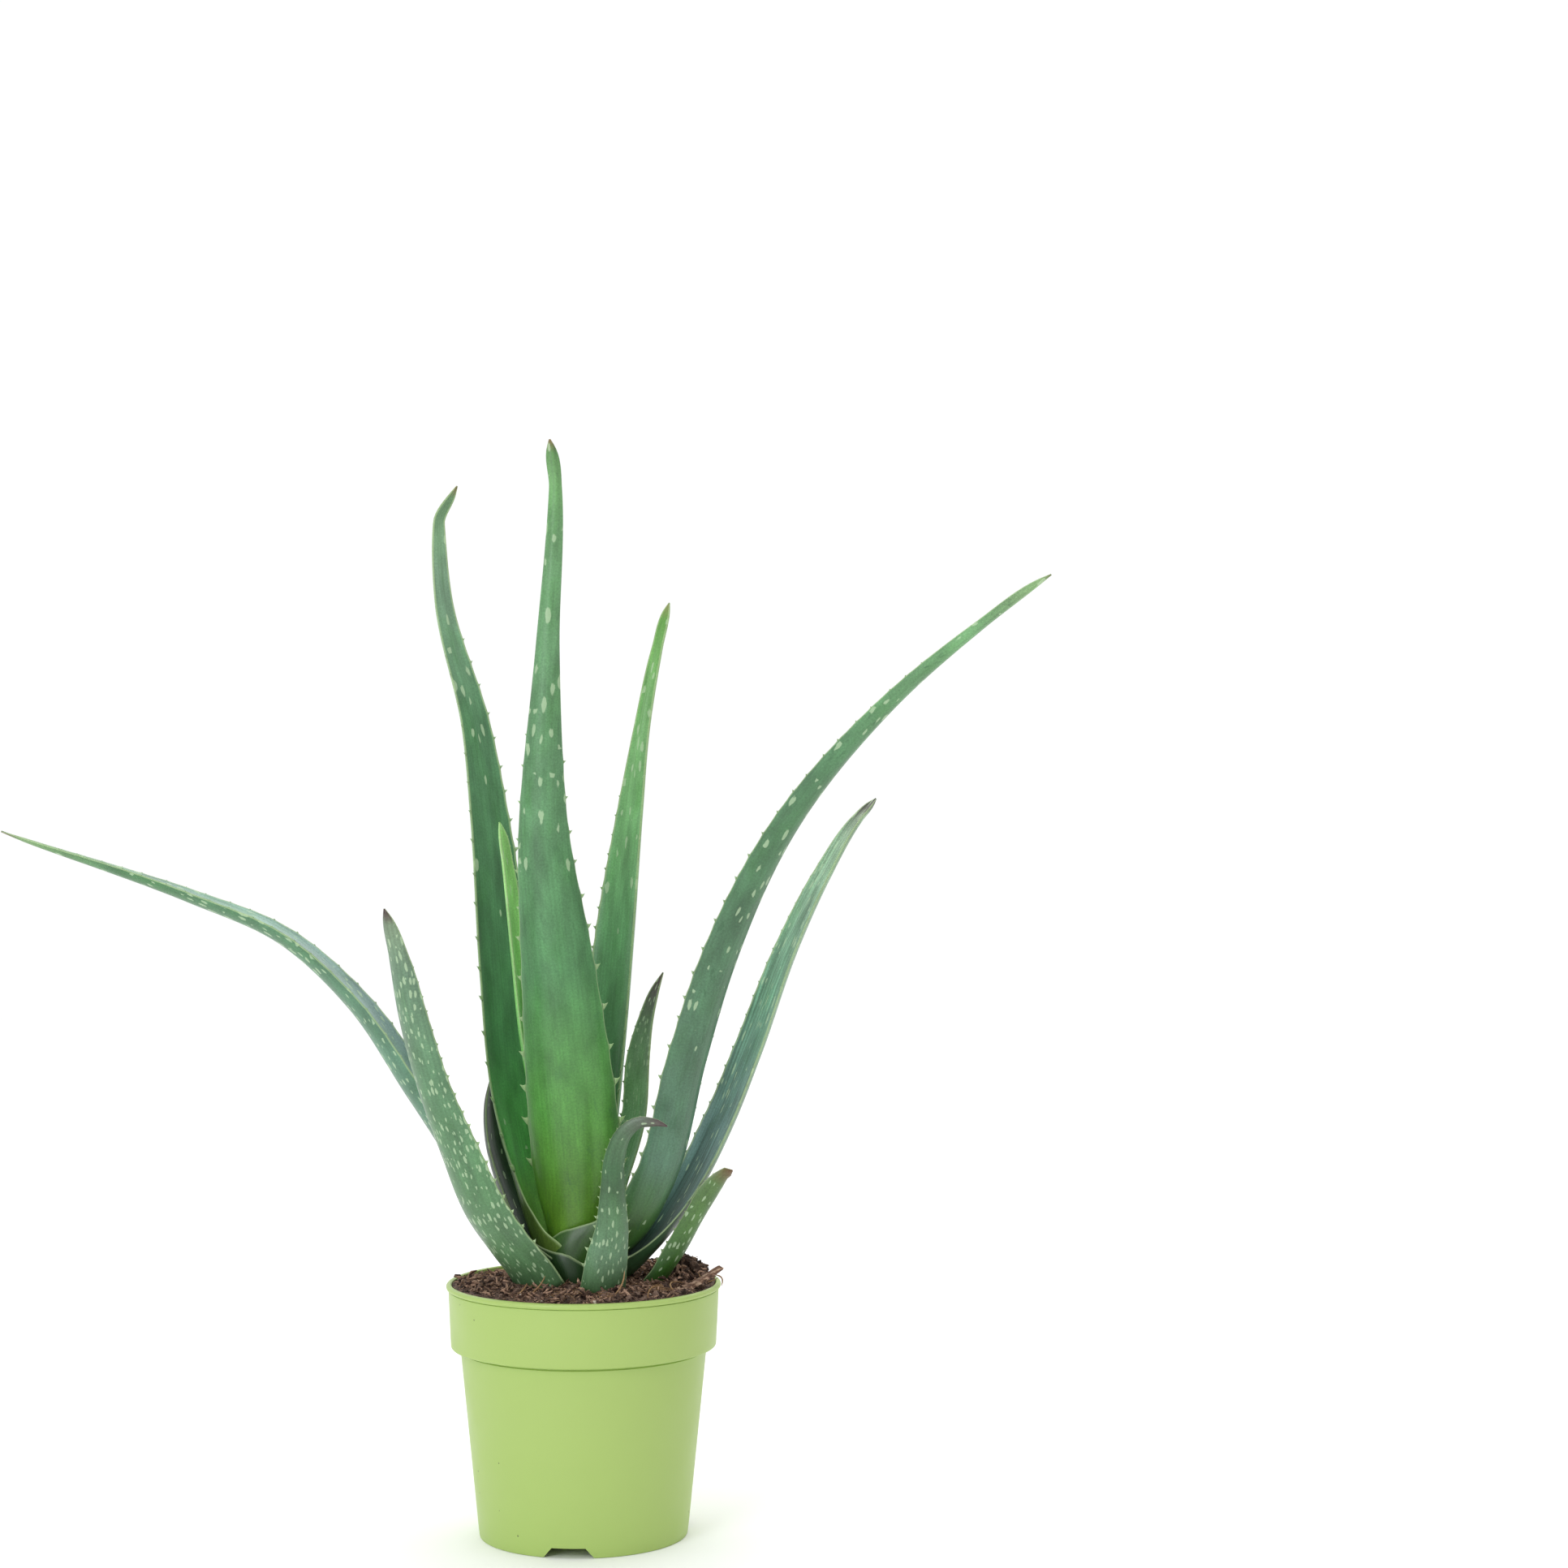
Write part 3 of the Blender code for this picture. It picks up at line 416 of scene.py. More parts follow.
# ---- pot ----------------------------------------------------------------------------------------
def pot_rings(pot):
    """The pot's outline from the middle of its underside, round the foot and the rim, to its floor inside."""
    lip_top = RIM_RADIUS - pot.bead_overhang
    lip_bottom = lip_top - pot.lip_draft
    lip_z = POT_HEIGHT - pot.lip_height
    body_top = lip_bottom - pot.step_in
    foot, wall, raised = pot.foot_radius, pot.wall, pot.floor_raise
    ring = STANDING_RING
    floor_top = raised + FLOOR_THICKNESS
    bead = pot.bead_height
    outline = [(2.0 * MM, raised), (foot - ring, raised), (foot - ring, 0.3 * MM),
               (foot - ring + 0.3 * MM, 0.0), (foot - 0.7 * MM, 0.0), (foot - 0.2 * MM, 0.2 * MM),
               (foot, 0.8 * MM)]
    outline += [(foot + (body_top - foot) * share, lip_z * share)
                for share in (0.07, 0.074, 0.2, 0.4, 0.6, 0.8, 0.97)]
    outline += [(body_top - 0.05 * MM, lip_z - 1.5 * MM), (body_top - 0.6 * MM, lip_z - 1.1 * MM),
                (body_top - 0.7 * MM, lip_z - 0.1 * MM), (body_top, lip_z)]
    round_edge = 0.9 * MM
    for step in range(7):
        turn = 0.5 * math.pi * step / 6
        outline.append((lip_bottom - round_edge + round_edge * math.sin(turn),
                        lip_z + round_edge - round_edge * math.cos(turn)))
    outline += [(0.5 * (lip_bottom + lip_top), POT_HEIGHT - 0.55 * pot.lip_height),
                (lip_top, POT_HEIGHT - bead - 0.5 * MM),
                (lip_top - 0.35 * MM, POT_HEIGHT - bead - 0.25 * MM),
                (lip_top - 0.3 * MM, POT_HEIGHT - bead + 0.1 * MM)]
    bead_middle = POT_HEIGHT - 0.55 * bead
    bead_reach = RIM_RADIUS - BEAD_ROUND
    for step in range(9):
        turn = math.pi * (step / 8 - 0.42)
        outline.append((bead_reach + BEAD_ROUND * math.cos(turn),
                        bead_middle + 0.5 * bead * math.sin(turn)))
    outline += [(lip_top - wall + 0.5 * MM, POT_HEIGHT), (lip_top - wall, POT_HEIGHT - 0.4 * MM),
                (lip_bottom - wall, lip_z + wall), (body_top - wall, lip_z + wall),
                (foot + (body_top - foot) * floor_top / lip_z - wall, floor_top), (2.0 * MM, floor_top)]
    return [(radius, (POT_AXIS.x, POT_AXIS.y, z)) for radius, z in outline]


def notch_cutter(turn, pot):
    """A block across the foot that narrows upwards."""
    overrun = 2.0 * MM
    bpy.ops.mesh.primitive_cube_add(size=1.0, location=(0.0, 0.0, 0.0))
    cutter = bpy.context.object
    slope = 1.7
    for vert in cutter.data.vertices:
        top = vert.co.z > 0.0
        z = pot.notch_height if top else -overrun
        vert.co = Vector((pot.foot_radius + vert.co.x * NOTCH_LENGTH,
                          vert.co.y * (pot.notch_width - slope * z), z))
    place = Matrix.Translation((POT_AXIS.x, POT_AXIS.y, 0.0)) @ Matrix.Rotation(turn, 4, "Z")
    cutter.data.transform(place)
    return cutter


def cut_away(obj, cutter):
    boolean = obj.modifiers.new("cut", "BOOLEAN")
    boolean.operation = "DIFFERENCE"
    boolean.solver = "EXACT"
    boolean.object = cutter
    apply_modifiers(obj)
    bpy.data.objects.remove(cutter)


def moulded_plastic(pot):
    """Injection-moulded polypropylene: an even satin colour with fine grain and stray specks."""
    material, tree, shader = new_material("injection-moulded polypropylene, lime")
    place = add_node(tree, "TexCoord").outputs["Object"]
    clouds = add_node(tree, "TexNoise", {"Vector": place, "Scale": 1.0 / 0.045, "Detail": 3.0})
    shade = add_node(tree, "Mix", {
        0: clouds.outputs["Fac"], 6: (*[0.94 * part for part in pot.plastic], 1.0),
        7: (*pot.plastic, 1.0)}, data_type="RGBA")
    cells = add_node(tree, "TexVoronoi", {"Vector": place, "Scale": 1.0 / 0.009})
    near = add_node(tree, "Math", [cells.outputs["Distance"], 0.05], operation="LESS_THAN")
    kind = add_node(tree, "SeparateColor", {"Color": cells.outputs["Color"]})
    some = add_node(tree, "Math", [kind.outputs["Red"], 0.25], operation="LESS_THAN")
    speck = add_node(tree, "Math", [near.outputs[0], some.outputs[0]], operation="MULTIPLY")
    strength = add_node(tree, "Math", [speck.outputs[0], 0.7], operation="MULTIPLY")
    marked = add_node(tree, "Mix", {
        0: strength.outputs[0], 6: shade.outputs[2], 7: (*linear("#4A5230"), 1.0)}, data_type="RGBA")
    tree.links.new(marked.outputs[2], shader.inputs["Base Color"])
    wear = add_node(tree, "TexNoise", {"Vector": place, "Scale": 1.0 / 0.02, "Detail": 5.0})
    gloss = add_node(tree, "MapRange", [wear.outputs["Fac"], 0.3, 0.7, 0.36, 0.48])
    tree.links.new(gloss.outputs[0], shader.inputs["Roughness"])
    grain = add_node(tree, "TexNoise", {"Vector": place, "Scale": 1.0 / 0.0012, "Detail": 2.0})
    bump = add_node(tree, "Bump", {"Height": grain.outputs["Fac"], "Strength": 0.08, "Distance": 0.0001})
    tree.links.new(bump.outputs["Normal"], shader.inputs["Normal"])
    shader.inputs["IOR"].default_value = 1.49
    return material


class ALOE_OT_pot(bpy.types.Operator):
    """Model the stepped nursery pot, with its beaded rim, foot notches and drain holes"""
    bl_idname = "aloe.pot"
    bl_label = "Nursery pot"

    def execute(self, context):
        pot = context.scene.aloe_pot
        start_clean()
        obj = extrude_rings(TURNED_STEPS, pot_rings(pot))
        for number in range(NOTCH_COUNT):
            cut_away(obj, notch_cutter(math.radians(FIRST_NOTCH + 360.0 / NOTCH_COUNT * number), pot))
        for number in range(DRAIN_COUNT):
            turn = math.tau * number / DRAIN_COUNT
            place = (POT_AXIS.x + DRAIN_CIRCLE * math.cos(turn), POT_AXIS.y + DRAIN_CIRCLE * math.sin(turn),
                     6.0 * MM)
            bpy.ops.mesh.primitive_cylinder_add(vertices=32, radius=DRAIN_RADIUS, depth=8.0 * MM,
                                                location=place)
            cut_away(obj, bpy.context.object)
        settle(obj, "nursery_pot")
        bpy.ops.object.shade_smooth_by_angle(angle=math.radians(32.0))
        own(obj, moulded_plastic(pot), ["pot"])
        return {"FINISHED"}


# ---- soil ---------------------------------------------------------------------------------------
# Mounds on the soil: place from the pot's axis, height and spread, in millimetres.
MOUNDS = [(42, 16, 6.5, 8), (50, 6, 3.0, 7), (34, 30, 3.0, 9), (0, 0, 2.0, 30), (-30, -20, 0.8, 12),
          (-34, 34, -2.6, 16), (8, -48, -0.8, 12), (-44, 14, -1.4, 12)]


def soil_height(x, y):
    """Height of the soil's top at a place measured from the pot's axis."""
    out = math.hypot(x, y)
    height = SOIL_HIGH.z - 1.2 * MM - 1.6 * MM * (out / RIM_RADIUS) ** 3
    for at_x, at_y, rise, spread in MOUNDS:
        away = math.hypot(x - at_x * MM, y - at_y * MM) / (spread * MM)
        height += rise * MM * math.exp(-away * away)
    return height


def soil_body(inner_radius):
    """The soil as one solid: a side that follows the pot's wall and a top made of close rings."""
    low = POT_HEIGHT - 9.0 * MM
    rings = [(2.0 * MM, low), (inner_radius - 0.6 * MM, low)]
    count = int(inner_radius / SOIL_RING_STEP)
    rings += [(inner_radius * (count - step) / count, SOIL_HIGH.z) for step in range(count)]
    obj = extrude_rings(TURNED_STEPS, [(radius, (POT_AXIS.x, POT_AXIS.y, z)) for radius, z in rings])
    settle(obj, "potting_soil")
    top = obj.vertex_groups.new(name="top")
    for vert in obj.data.vertices:
        if vert.co.z > low + 1.0 * MM:
            vert.co.z = soil_height(vert.co.x - POT_AXIS.x, vert.co.y - POT_AXIS.y)
            inside = math.hypot(vert.co.x - POT_AXIS.x, vert.co.y - POT_AXIS.y) < inner_radius - 0.3 * MM
            top.add([vert.index], 1.0 if inside else 0.0, "REPLACE")
    for name, size, depth in (("clods", 5.5 * MM, 3.2 * MM), ("crumb", 1.7 * MM, 1.6 * MM)):
        texture = bpy.data.textures.new(name, "CLOUDS")
        texture.noise_scale = size
        texture.noise_depth = 3
        displace = obj.modifiers.new(name, "DISPLACE")
        displace.texture = texture
        displace.texture_coords = "LOCAL"
        displace.direction = "Z"
        displace.strength = depth
        displace.mid_level = 0.5
        displace.vertex_group = "top"
    apply_modifiers(obj)
    return obj


def crumb_shapes():
    """Three lumpy crumbs of unit size, as points and faces."""
    shapes = []
    for number in range(3):
        start_clean()
        bpy.ops.mesh.primitive_ico_sphere_add(subdivisions=2, radius=0.5)
        obj = bpy.context.object
        for vert in obj.data.vertices:
            away = noise.noise(vert.co * 3.1 + Vector((number * 7.3, 0.0, 0.0)))
            vert.co *= 1.0 + 0.85 * away
        shapes.append(take_shape(obj))
    return shapes


def shred_shapes():
    """Three splinters of unit length: a thin block, bent and frayed towards its ends."""
    shapes = []
    for number in range(3):
        start_clean()
        bpy.ops.mesh.primitive_cube_add(size=1.0)
        obj = bpy.context.object
        bpy.ops.object.mode_set(mode="EDIT")
        bpy.ops.mesh.select_all(action="SELECT")
        bpy.ops.mesh.subdivide(number_cuts=1)
        bpy.ops.object.mode_set(mode="OBJECT")
        for vert in obj.data.vertices:
            taper = 1.0 - 1.1 * abs(vert.co.x)
            bow = 0.22 * math.sin(3.0 * vert.co.x + number)
            ragged = 0.12 * noise.noise(vert.co * 5.0 + Vector((0.0, number * 3.7, 0.0)))
            vert.co = Vector((vert.co.x, 0.26 * vert.co.y * taper + bow, 0.14 * vert.co.z * taper + ragged))
        shapes.append(take_shape(obj))
    return shapes


def take_shape(obj):
    """A model's points and faces, after which the model itself is removed."""
    points = np.array([vert.co for vert in obj.data.vertices])
    faces = [tuple(polygon.vertices) for polygon in obj.data.polygons]
    bpy.data.objects.remove(obj)
    return points, faces


def mesh_object(name, points, faces):
    mesh = bpy.data.meshes.new(name)
    mesh.from_pydata([tuple(point) for point in points], [], faces)
    mesh.update()
    obj = bpy.data.objects.new(name, mesh)
    bpy.context.scene.collection.objects.link(obj)
    return obj


def scatter(name, shapes, places):
    """One object out of many copies: each place is (position, size, turn matrix)."""
    points, faces, start = [], [], 0
    for number, (position, size, turn) in enumerate(places):
        shape, shape_faces = shapes[number % len(shapes)]
        points.append(shape * size @ np.array(turn).T + np.array(position))
        faces += [tuple(index + start for index in face) for face in shape_faces]
        start += len(shape)
    return mesh_object(name, np.concatenate(points), faces)


def random_spot(rng, reach):
    """A random place on the soil, measured from the pot's axis."""
    turn = rng.uniform(0.0, math.tau)
    out = reach * math.sqrt(rng.random())
    return out * math.cos(turn), out * math.sin(turn)


def on_soil(tree, x, y):
    """The point of the soil's surface under a place measured from the pot's axis."""
    above = Vector((POT_AXIS.x + x, POT_AXIS.y + y, POT_HEIGHT + 40.0 * MM))
    return tree.ray_cast(above, Vector((0.0, 0.0, -1.0)))[0]


def random_turn(rng, tilt):
    spin = Matrix.Rotation(rng.uniform(0.0, math.tau), 3, "Z")
    lean = Matrix.Rotation(rng.uniform(-tilt, tilt), 3, "Y")
    return spin @ (lean @ Matrix.Rotation(rng.uniform(-math.pi, math.pi), 3, "X"))


def heap(rng, tree, count, smallest, largest, reach, tilt, raised):
    """Random places on the soil for loose bits: many small ones and few large."""
    places = []
    for _ in range(count):
        x, y = random_spot(rng, reach)
        size = smallest + (largest - smallest) * rng.random() ** 2.6
        point = on_soil(tree, x, y)
        if point is not None:
            lift = Vector((0.0, 0.0, rng.uniform(-0.2, raised) * size))
            places.append((point + lift, size, random_turn(rng, tilt)))
    return places


def hair_curve(name, strands, thickness):
    """Thin strands as one curve, made a mesh. Each strand is a list of points."""
    curve = bpy.data.curves.new(name, "CURVE")
    curve.dimensions = "3D"
    curve.bevel_depth = thickness
    curve.bevel_resolution = 1
    curve.use_fill_caps = True
    for strand in strands:
        spline = curve.splines.new("POLY")
        spline.points.add(len(strand) - 1)
        for number, (point, knot) in enumerate(zip(strand, spline.points)):
            knot.co = (*point, 1.0)
            knot.radius = 1.0 - 0.7 * abs(2.0 * number / (len(strand) - 1) - 1.0) ** 3
    obj = bpy.data.objects.new(name, curve)
    bpy.context.scene.collection.objects.link(obj)
    make_current(obj)
    bpy.ops.object.convert(target="MESH")
    return bpy.context.object


def curled(rng, start, heading, length, lift, curl, steps=9):
    """Points of a strand that wanders sideways and rises and falls again."""
    points = [Vector(start)]
    turn = heading
    for step in range(steps):
        turn += rng.uniform(-curl, curl)
        rise = lift * math.cos(math.pi * (step + 0.5) / steps)
        ahead = Vector((math.cos(turn), math.sin(turn), rise)).normalized()
        points.append(points[-1] + ahead * (length / steps))
    return points


# Longer straws that catch the eye: two ends and the sideways bow between them, in millimetres, from the pot's
# axis in x and y and from the rim in z.
STRAWS = [((-23.5, -42, -0.5), (-14, -38, 8.5), 1.5), ((14.6, -45, 0.5), (20, -43, 11.5), 1.6),
          ((40, -26, 0.5), (52, -10, 3.5), 5.0), ((22, -50, 0), (41, -40, 0.8), 3.5),
          ((44, -16, 2), (41, -34, 1), 4.0), ((-34, -36, 0), (-19, -40, 1.2), 2.5),
          ((-27, -40, 0.5), (-22, -36, 5), 1.0), ((50, 0, 4), (59, -9, 3), 3.0),
          ((30, -44, 0), (36, -34, 3.5), -2.5), ((-46, -6, -1), (-34, -18, 1), 3.0),
          ((57, -4, 3.5), (60.5, -15, 0.5), -2.0)]


def straw_points(start, end, bow):
    start = Vector(start)
    end = Vector(end)
    aside = (end - start).cross(Vector((0.0, -1.0, 0.3))).normalized()
    points = []
    for step in range(11):
        share = step / 10
        place = start.lerp(end, share) + aside * (bow * 4.0 * share * (1.0 - share))
        points.append(Vector((POT_AXIS.x, POT_AXIS.y, POT_HEIGHT)) + place * MM)
    return points


def peat(name, dark, light, spread):
    """Peat and coir: dull, moist and uneven, so every crumb has its own shade of brown."""
    material, tree, shader = new_material(name)
    place = add_node(tree, "TexCoord").outputs["Object"]
    cells = add_node(tree, "TexVoronoi", {"Vector": place, "Scale": 1.0 / spread})
    shade = add_node(tree, "SeparateColor", {"Color": cells.outputs["Color"]})
    grain = add_node(tree, "TexNoise", {"Vector": place, "Scale": 1.0 / 0.0007, "Detail": 4.0})
    both = add_node(tree, "Math", [shade.outputs["Red"], grain.outputs["Fac"]], operation="MULTIPLY")
    ramp = set_stops(add_node(tree, "ValToRGB", {"Fac": both.outputs[0]}), [(0.06, 0.0), (0.66, 1.0)])
    mixed = add_node(tree, "Mix", {
        0: ramp.outputs["Color"], 6: (*dark, 1.0), 7: (*light, 1.0)}, data_type="RGBA")
    tree.links.new(mixed.outputs[2], shader.inputs["Base Color"])
    bump = add_node(tree, "Bump", {"Height": grain.outputs["Fac"], "Strength": 0.6, "Distance": 0.0004})
    tree.links.new(bump.outputs["Normal"], shader.inputs["Normal"])
    shader.inputs["Roughness"].default_value = 0.86
    shader.inputs["Specular IOR Level"].default_value = 0.3
    return material


class ALOE_OT_soil(bpy.types.Operator):
    """Heap the potting soil and strew it with crumbs, coir, fibres and perlite"""
    bl_idname = "aloe.soil"
    bl_label = "Potting soil"

    def execute(self, context):
        soil = context.scene.aloe_soil
        pot = context.scene.aloe_pot
        rng = random.Random(SEED)
        inner = RIM_RADIUS - pot.bead_overhang - pot.wall - 0.35 * MM
        start_clean()
        body = soil_body(inner)
        bpy.ops.object.shade_smooth()
        surface = BVHTree.FromObject(body, bpy.context.evaluated_depsgraph_get())
        own(body, peat("moist peat", soil.dark, soil.brown, 1.6 * MM), ["soil"])

        reach = inner - 2.0 * MM
        crumbs = scatter("soil_crumbs", crumb_shapes(),
                         heap(rng, surface, soil.crumbs, 0.8 * MM, 3.0 * MM, reach, 3.0, 0.35))
        mounds = [(rng.gauss(44, 6) * MM, rng.gauss(14, 6) * MM) for _ in range(60)]
        lift = Vector((0.0, 0.0, 0.6 * MM))
        big = [(on_soil(surface, x, y) + lift, rng.uniform(2.2, 5.5) * MM, random_turn(rng, 3.0))
               for x, y in mounds if math.hypot(x, y) < reach - 2.0 * MM]
        clods = scatter("soil_clods", crumb_shapes(), big)
        shreds = scatter("soil_shreds", shred_shapes(),
                         heap(rng, surface, soil.shreds, 1.2 * MM, 6.0 * MM, reach, 0.7, 0.5))
        own(crumbs, peat("dry peat crumbs", soil.dark, linear("#94796A"), 2.2 * MM), [])
        own(clods, peat("peat clods", linear("#33261F"), linear("#7C6352"), 2.6 * MM), [])
        own(shreds, peat("coir and bark shreds", linear("#35221A"), linear("#CCA68C"), 2.6 * MM),
            [])

        strands = []
        for _ in range(soil.hairs):
            x, y = random_spot(rng, reach - 3.0 * MM)
            point = on_soil(surface, x, y)
            strand = curled(rng, point + Vector((0.0, 0.0, 0.3 * MM)), rng.uniform(0.0, math.tau),
                            rng.uniform(2.5, 12.0) * MM, rng.uniform(0.1, 0.6), rng.uniform(0.25, 0.9))
            if all(math.hypot(p.x - POT_AXIS.x, p.y - POT_AXIS.y) < reach for p in strand):
                strands.append(strand)
        hairs = hair_curve("root_hairs", strands, 0.11 * MM)
        straws = hair_curve("straws", [straw_points(*straw) for straw in STRAWS], 0.34 * MM)
        own(hairs, peat("root hairs", linear("#5A3A2A"), soil.straw, 9.0 * MM), [])
        own(straws, peat("dry straw", linear("#8A6A48"), soil.straw, 9.0 * MM), [])
        grains = scatter("perlite_grains", crumb_shapes(),
                         heap(rng, surface, soil.grains, 0.8 * MM, 1.9 * MM, reach, 3.0, 0.6))
        own(grains, peat("perlite", linear("#B5A894"), linear("#F2EADC"), 3.0 * MM), [])
        return {"FINISHED"}


# ---- bark chip and stem -------------------------------------------------------------------------
def bark(name, dark, light):
    """Weathered conifer bark: dry and dull, with long cracks between paler ridges."""
    material, tree, shader = new_material(name)
    place = add_node(tree, "TexCoord").outputs["Object"]
    turned = add_node(tree, "Mapping", {
        "Vector": place, "Rotation": (0.0, -CHIP_RISE, CHIP_TURN),
        "Scale": (1.0 / 0.009, 1.0 / 0.0011, 1.0 / 0.0011)})
    grain = add_node(tree, "TexNoise", {"Vector": turned.outputs[0], "Scale": 1.0, "Detail": 5.0})
    ramp = set_stops(add_node(tree, "ValToRGB", {"Fac": grain.outputs["Fac"]}),
                     [(0.32, dark), (0.5, "#7A5C49"), (0.68, light)])
    tree.links.new(ramp.outputs["Color"], shader.inputs["Base Color"])
    bump = add_node(tree, "Bump", {"Height": grain.outputs["Fac"], "Strength": 0.9, "Distance": 0.0006})
    tree.links.new(bump.outputs["Normal"], shader.inputs["Normal"])
    shader.inputs["Roughness"].default_value = 0.88
    return material


class ALOE_OT_chip(bpy.types.Operator):
    """Model the split flake of bark that lies on the soil against the rim"""
    bl_idname = "aloe.chip"
    bl_label = "Bark chip"

    def execute(self, context):
        start_clean()
        middle = 0.5 * (CHIP_LOW + CHIP_HIGH) + Vector((-2.0 * MM, 0.0, -3.2 * MM))
        length = (CHIP_HIGH - CHIP_LOW).length * 0.86
        bpy.ops.mesh.primitive_cube_add(size=1.0, location=(0.0, 0.0, 0.0))
        chip = bpy.context.object
        bpy.ops.object.mode_set(mode="EDIT")
        bpy.ops.mesh.select_all(action="SELECT")
        bpy.ops.transform.resize(value=(length, CHIP_WIDTH, CHIP_THICKNESS))
        bpy.ops.mesh.subdivide(number_cuts=10)
        bpy.ops.object.mode_set(mode="OBJECT")
        for vert in chip.data.vertices:
            share = vert.co.x / length + 0.5
            taper = 1.0 - 0.55 * share
            fork = 1.5 * MM * max(0.0, share - 0.62) * (1.0 if vert.co.y > 0.0 else -1.0)
            split = 1.0 - 0.75 * max(0.0, share - 0.6) / 0.4 * (1.0 - min(1.0, abs(vert.co.y) / (1.2 * MM)))
            rough = noise.noise(Vector((vert.co.x * 160.0, vert.co.y * 900.0, vert.co.z * 900.0)))
            vert.co.y = vert.co.y * taper + fork + 0.5 * MM * rough + 1.1 * MM * math.sin(3.0 * share)
            vert.co.z = vert.co.z * taper * split + 0.7 * MM * rough - 0.8 * MM * math.sin(math.pi * share)
            vert.co.x += 1.4 * MM * noise.noise(Vector((5.0, vert.co.y * 1500.0, vert.co.z * 1500.0)))
        chip.data.transform(Matrix.Translation(middle) @ Matrix.Rotation(CHIP_TURN, 4, "Z")
                            @ Matrix.Rotation(-CHIP_RISE, 4, "Y"))
        smooth = chip.modifiers.new("rounding", "SUBSURF")
        smooth.levels = 1
        smooth.render_levels = 1
        apply_modifiers(chip)
        settle(chip, "bark_chip")
        bpy.ops.object.shade_smooth()
        own(chip, bark("weathered bark", "#453026", "#C0A48C"), ["wood_chip"])
        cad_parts["stem"].data.materials.clear()
        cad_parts["stem"].data.materials.append(bark("corky stem", "#4A3A22", "#8A7448"))
        return {"FINISHED"}


# ---- leaves -------------------------------------------------------------------------------------
def arc_radius(half, curve):
    """Radius of a section's arc, from half its width and how far it curves round to each side."""
    return half / math.sin(min(curve, 0.5 * math.pi))


def arc_depth(half, curve):
    return arc_radius(half, curve) * (1.0 - math.cos(curve))


def smooth_through(rows):
    """Rows spaced evenly along a smooth curve through the given rows, with its direction at each and how far
    along it each one is."""
    steps = np.linalg.norm(np.diff(rows[:, :3], axis=0), axis=1)
    knots = np.concatenate(([0.0], np.cumsum(steps)))
    slopes = np.diff(rows, axis=0) / steps[:, None]
    tangents = np.empty_like(rows)
    tangents[0] = slopes[0]
    tangents[-1] = slopes[-1]
    weight = (steps[:-1] / (steps[:-1] + steps[1:]))[:, None]
    tangents[1:-1] = (1.0 - weight) * slopes[:-1] + weight * slopes[1:]
    tangents[1:-1][slopes[:-1] * slopes[1:] <= 0.0] = 0.0
    at = np.linspace(0.0, knots[-1], int(knots[-1] / RING_SPACING) + 1)
    span = np.clip(np.searchsorted(knots, at, side="right") - 1, 0, len(steps) - 1)
    length = steps[span][:, None]
    u = ((at - knots[span])[:, None]) / length
    start, end = rows[span], rows[span + 1]
    go, stop = tangents[span] * length, tangents[span + 1] * length
    points = ((2 * u**3 - 3 * u**2 + 1) * start + (u**3 - 2 * u**2 + u) * go
              + (3 * u**2 - 2 * u**3) * end + (u**3 - u**2) * stop)
    slope = ((6 * u**2 - 6 * u) * start + (3 * u**2 - 4 * u + 1) * go
             + (6 * u - 6 * u**2) * end + (3 * u**2 - 2 * u) * stop)[:, :3]
    return points, slope / np.linalg.norm(slope, axis=1)[:, None], at


@dataclass
class Section:
    """A slice across a leaf: where it is, its own axes and its shape, in millimetres and radians."""
    middle: Vector
    side: Vector
    inward: Vector
    forward: Vector
    half: float
    curve: float
    thick: float
    along: float            # distance from the leaf's base


def leaf_sections(leaf):
    rows = np.array([(*row[:4], math.radians(row[4]), row[5], math.radians(row[6])) for row in leaf.rows])
    points, directions, along = smooth_through(rows)
    facing = math.radians(leaf.facing)
    side = Vector((-math.sin(facing), math.cos(facing), 0.0))
    before = Vector((0.0, 0.0, 1.0))
    sections = []
    for row, direction, distance in zip(points, directions, along):
        forward = Vector(direction)
        side = before.rotation_difference(forward) @ side
        side = (side - forward * side.dot(forward)).normalized()
        before = forward
        turned_side = Matrix.Rotation(row[6], 3, forward) @ side
        sections.append(Section(Vector(row[:3]), turned_side, forward.cross(turned_side), forward,
                                row[3], row[4], row[5], distance))
    return sections


def tooth_places(leaf, rng):
    """For each margin, where its teeth stand and how long they are: they shrink towards the leaf's tip."""
    first, last, spacing, size = leaf.teeth
    places = {-1: [], 1: []}
    for margin in places:
        at = first + rng.uniform(0.0, 0.6) * spacing
        while at < last:
            share = (at - first) / (last - first)
            places[margin].append((at, size * (1.0 - 0.72 * share) * rng.uniform(0.82, 1.15)))
            at += spacing * (1.0 - 0.25 * share) * rng.uniform(0.9, 1.12)
    return places


def margin_swell(section, teeth):
    """How far a margin stands out near a tooth."""
    swell = 0.0
    for at, size in teeth:
        away = (section.along - at) / (0.9 * size + 1.2)
        if abs(away) < 2.5:
            swell += 0.28 * size * math.exp(-away * away)
    return swell


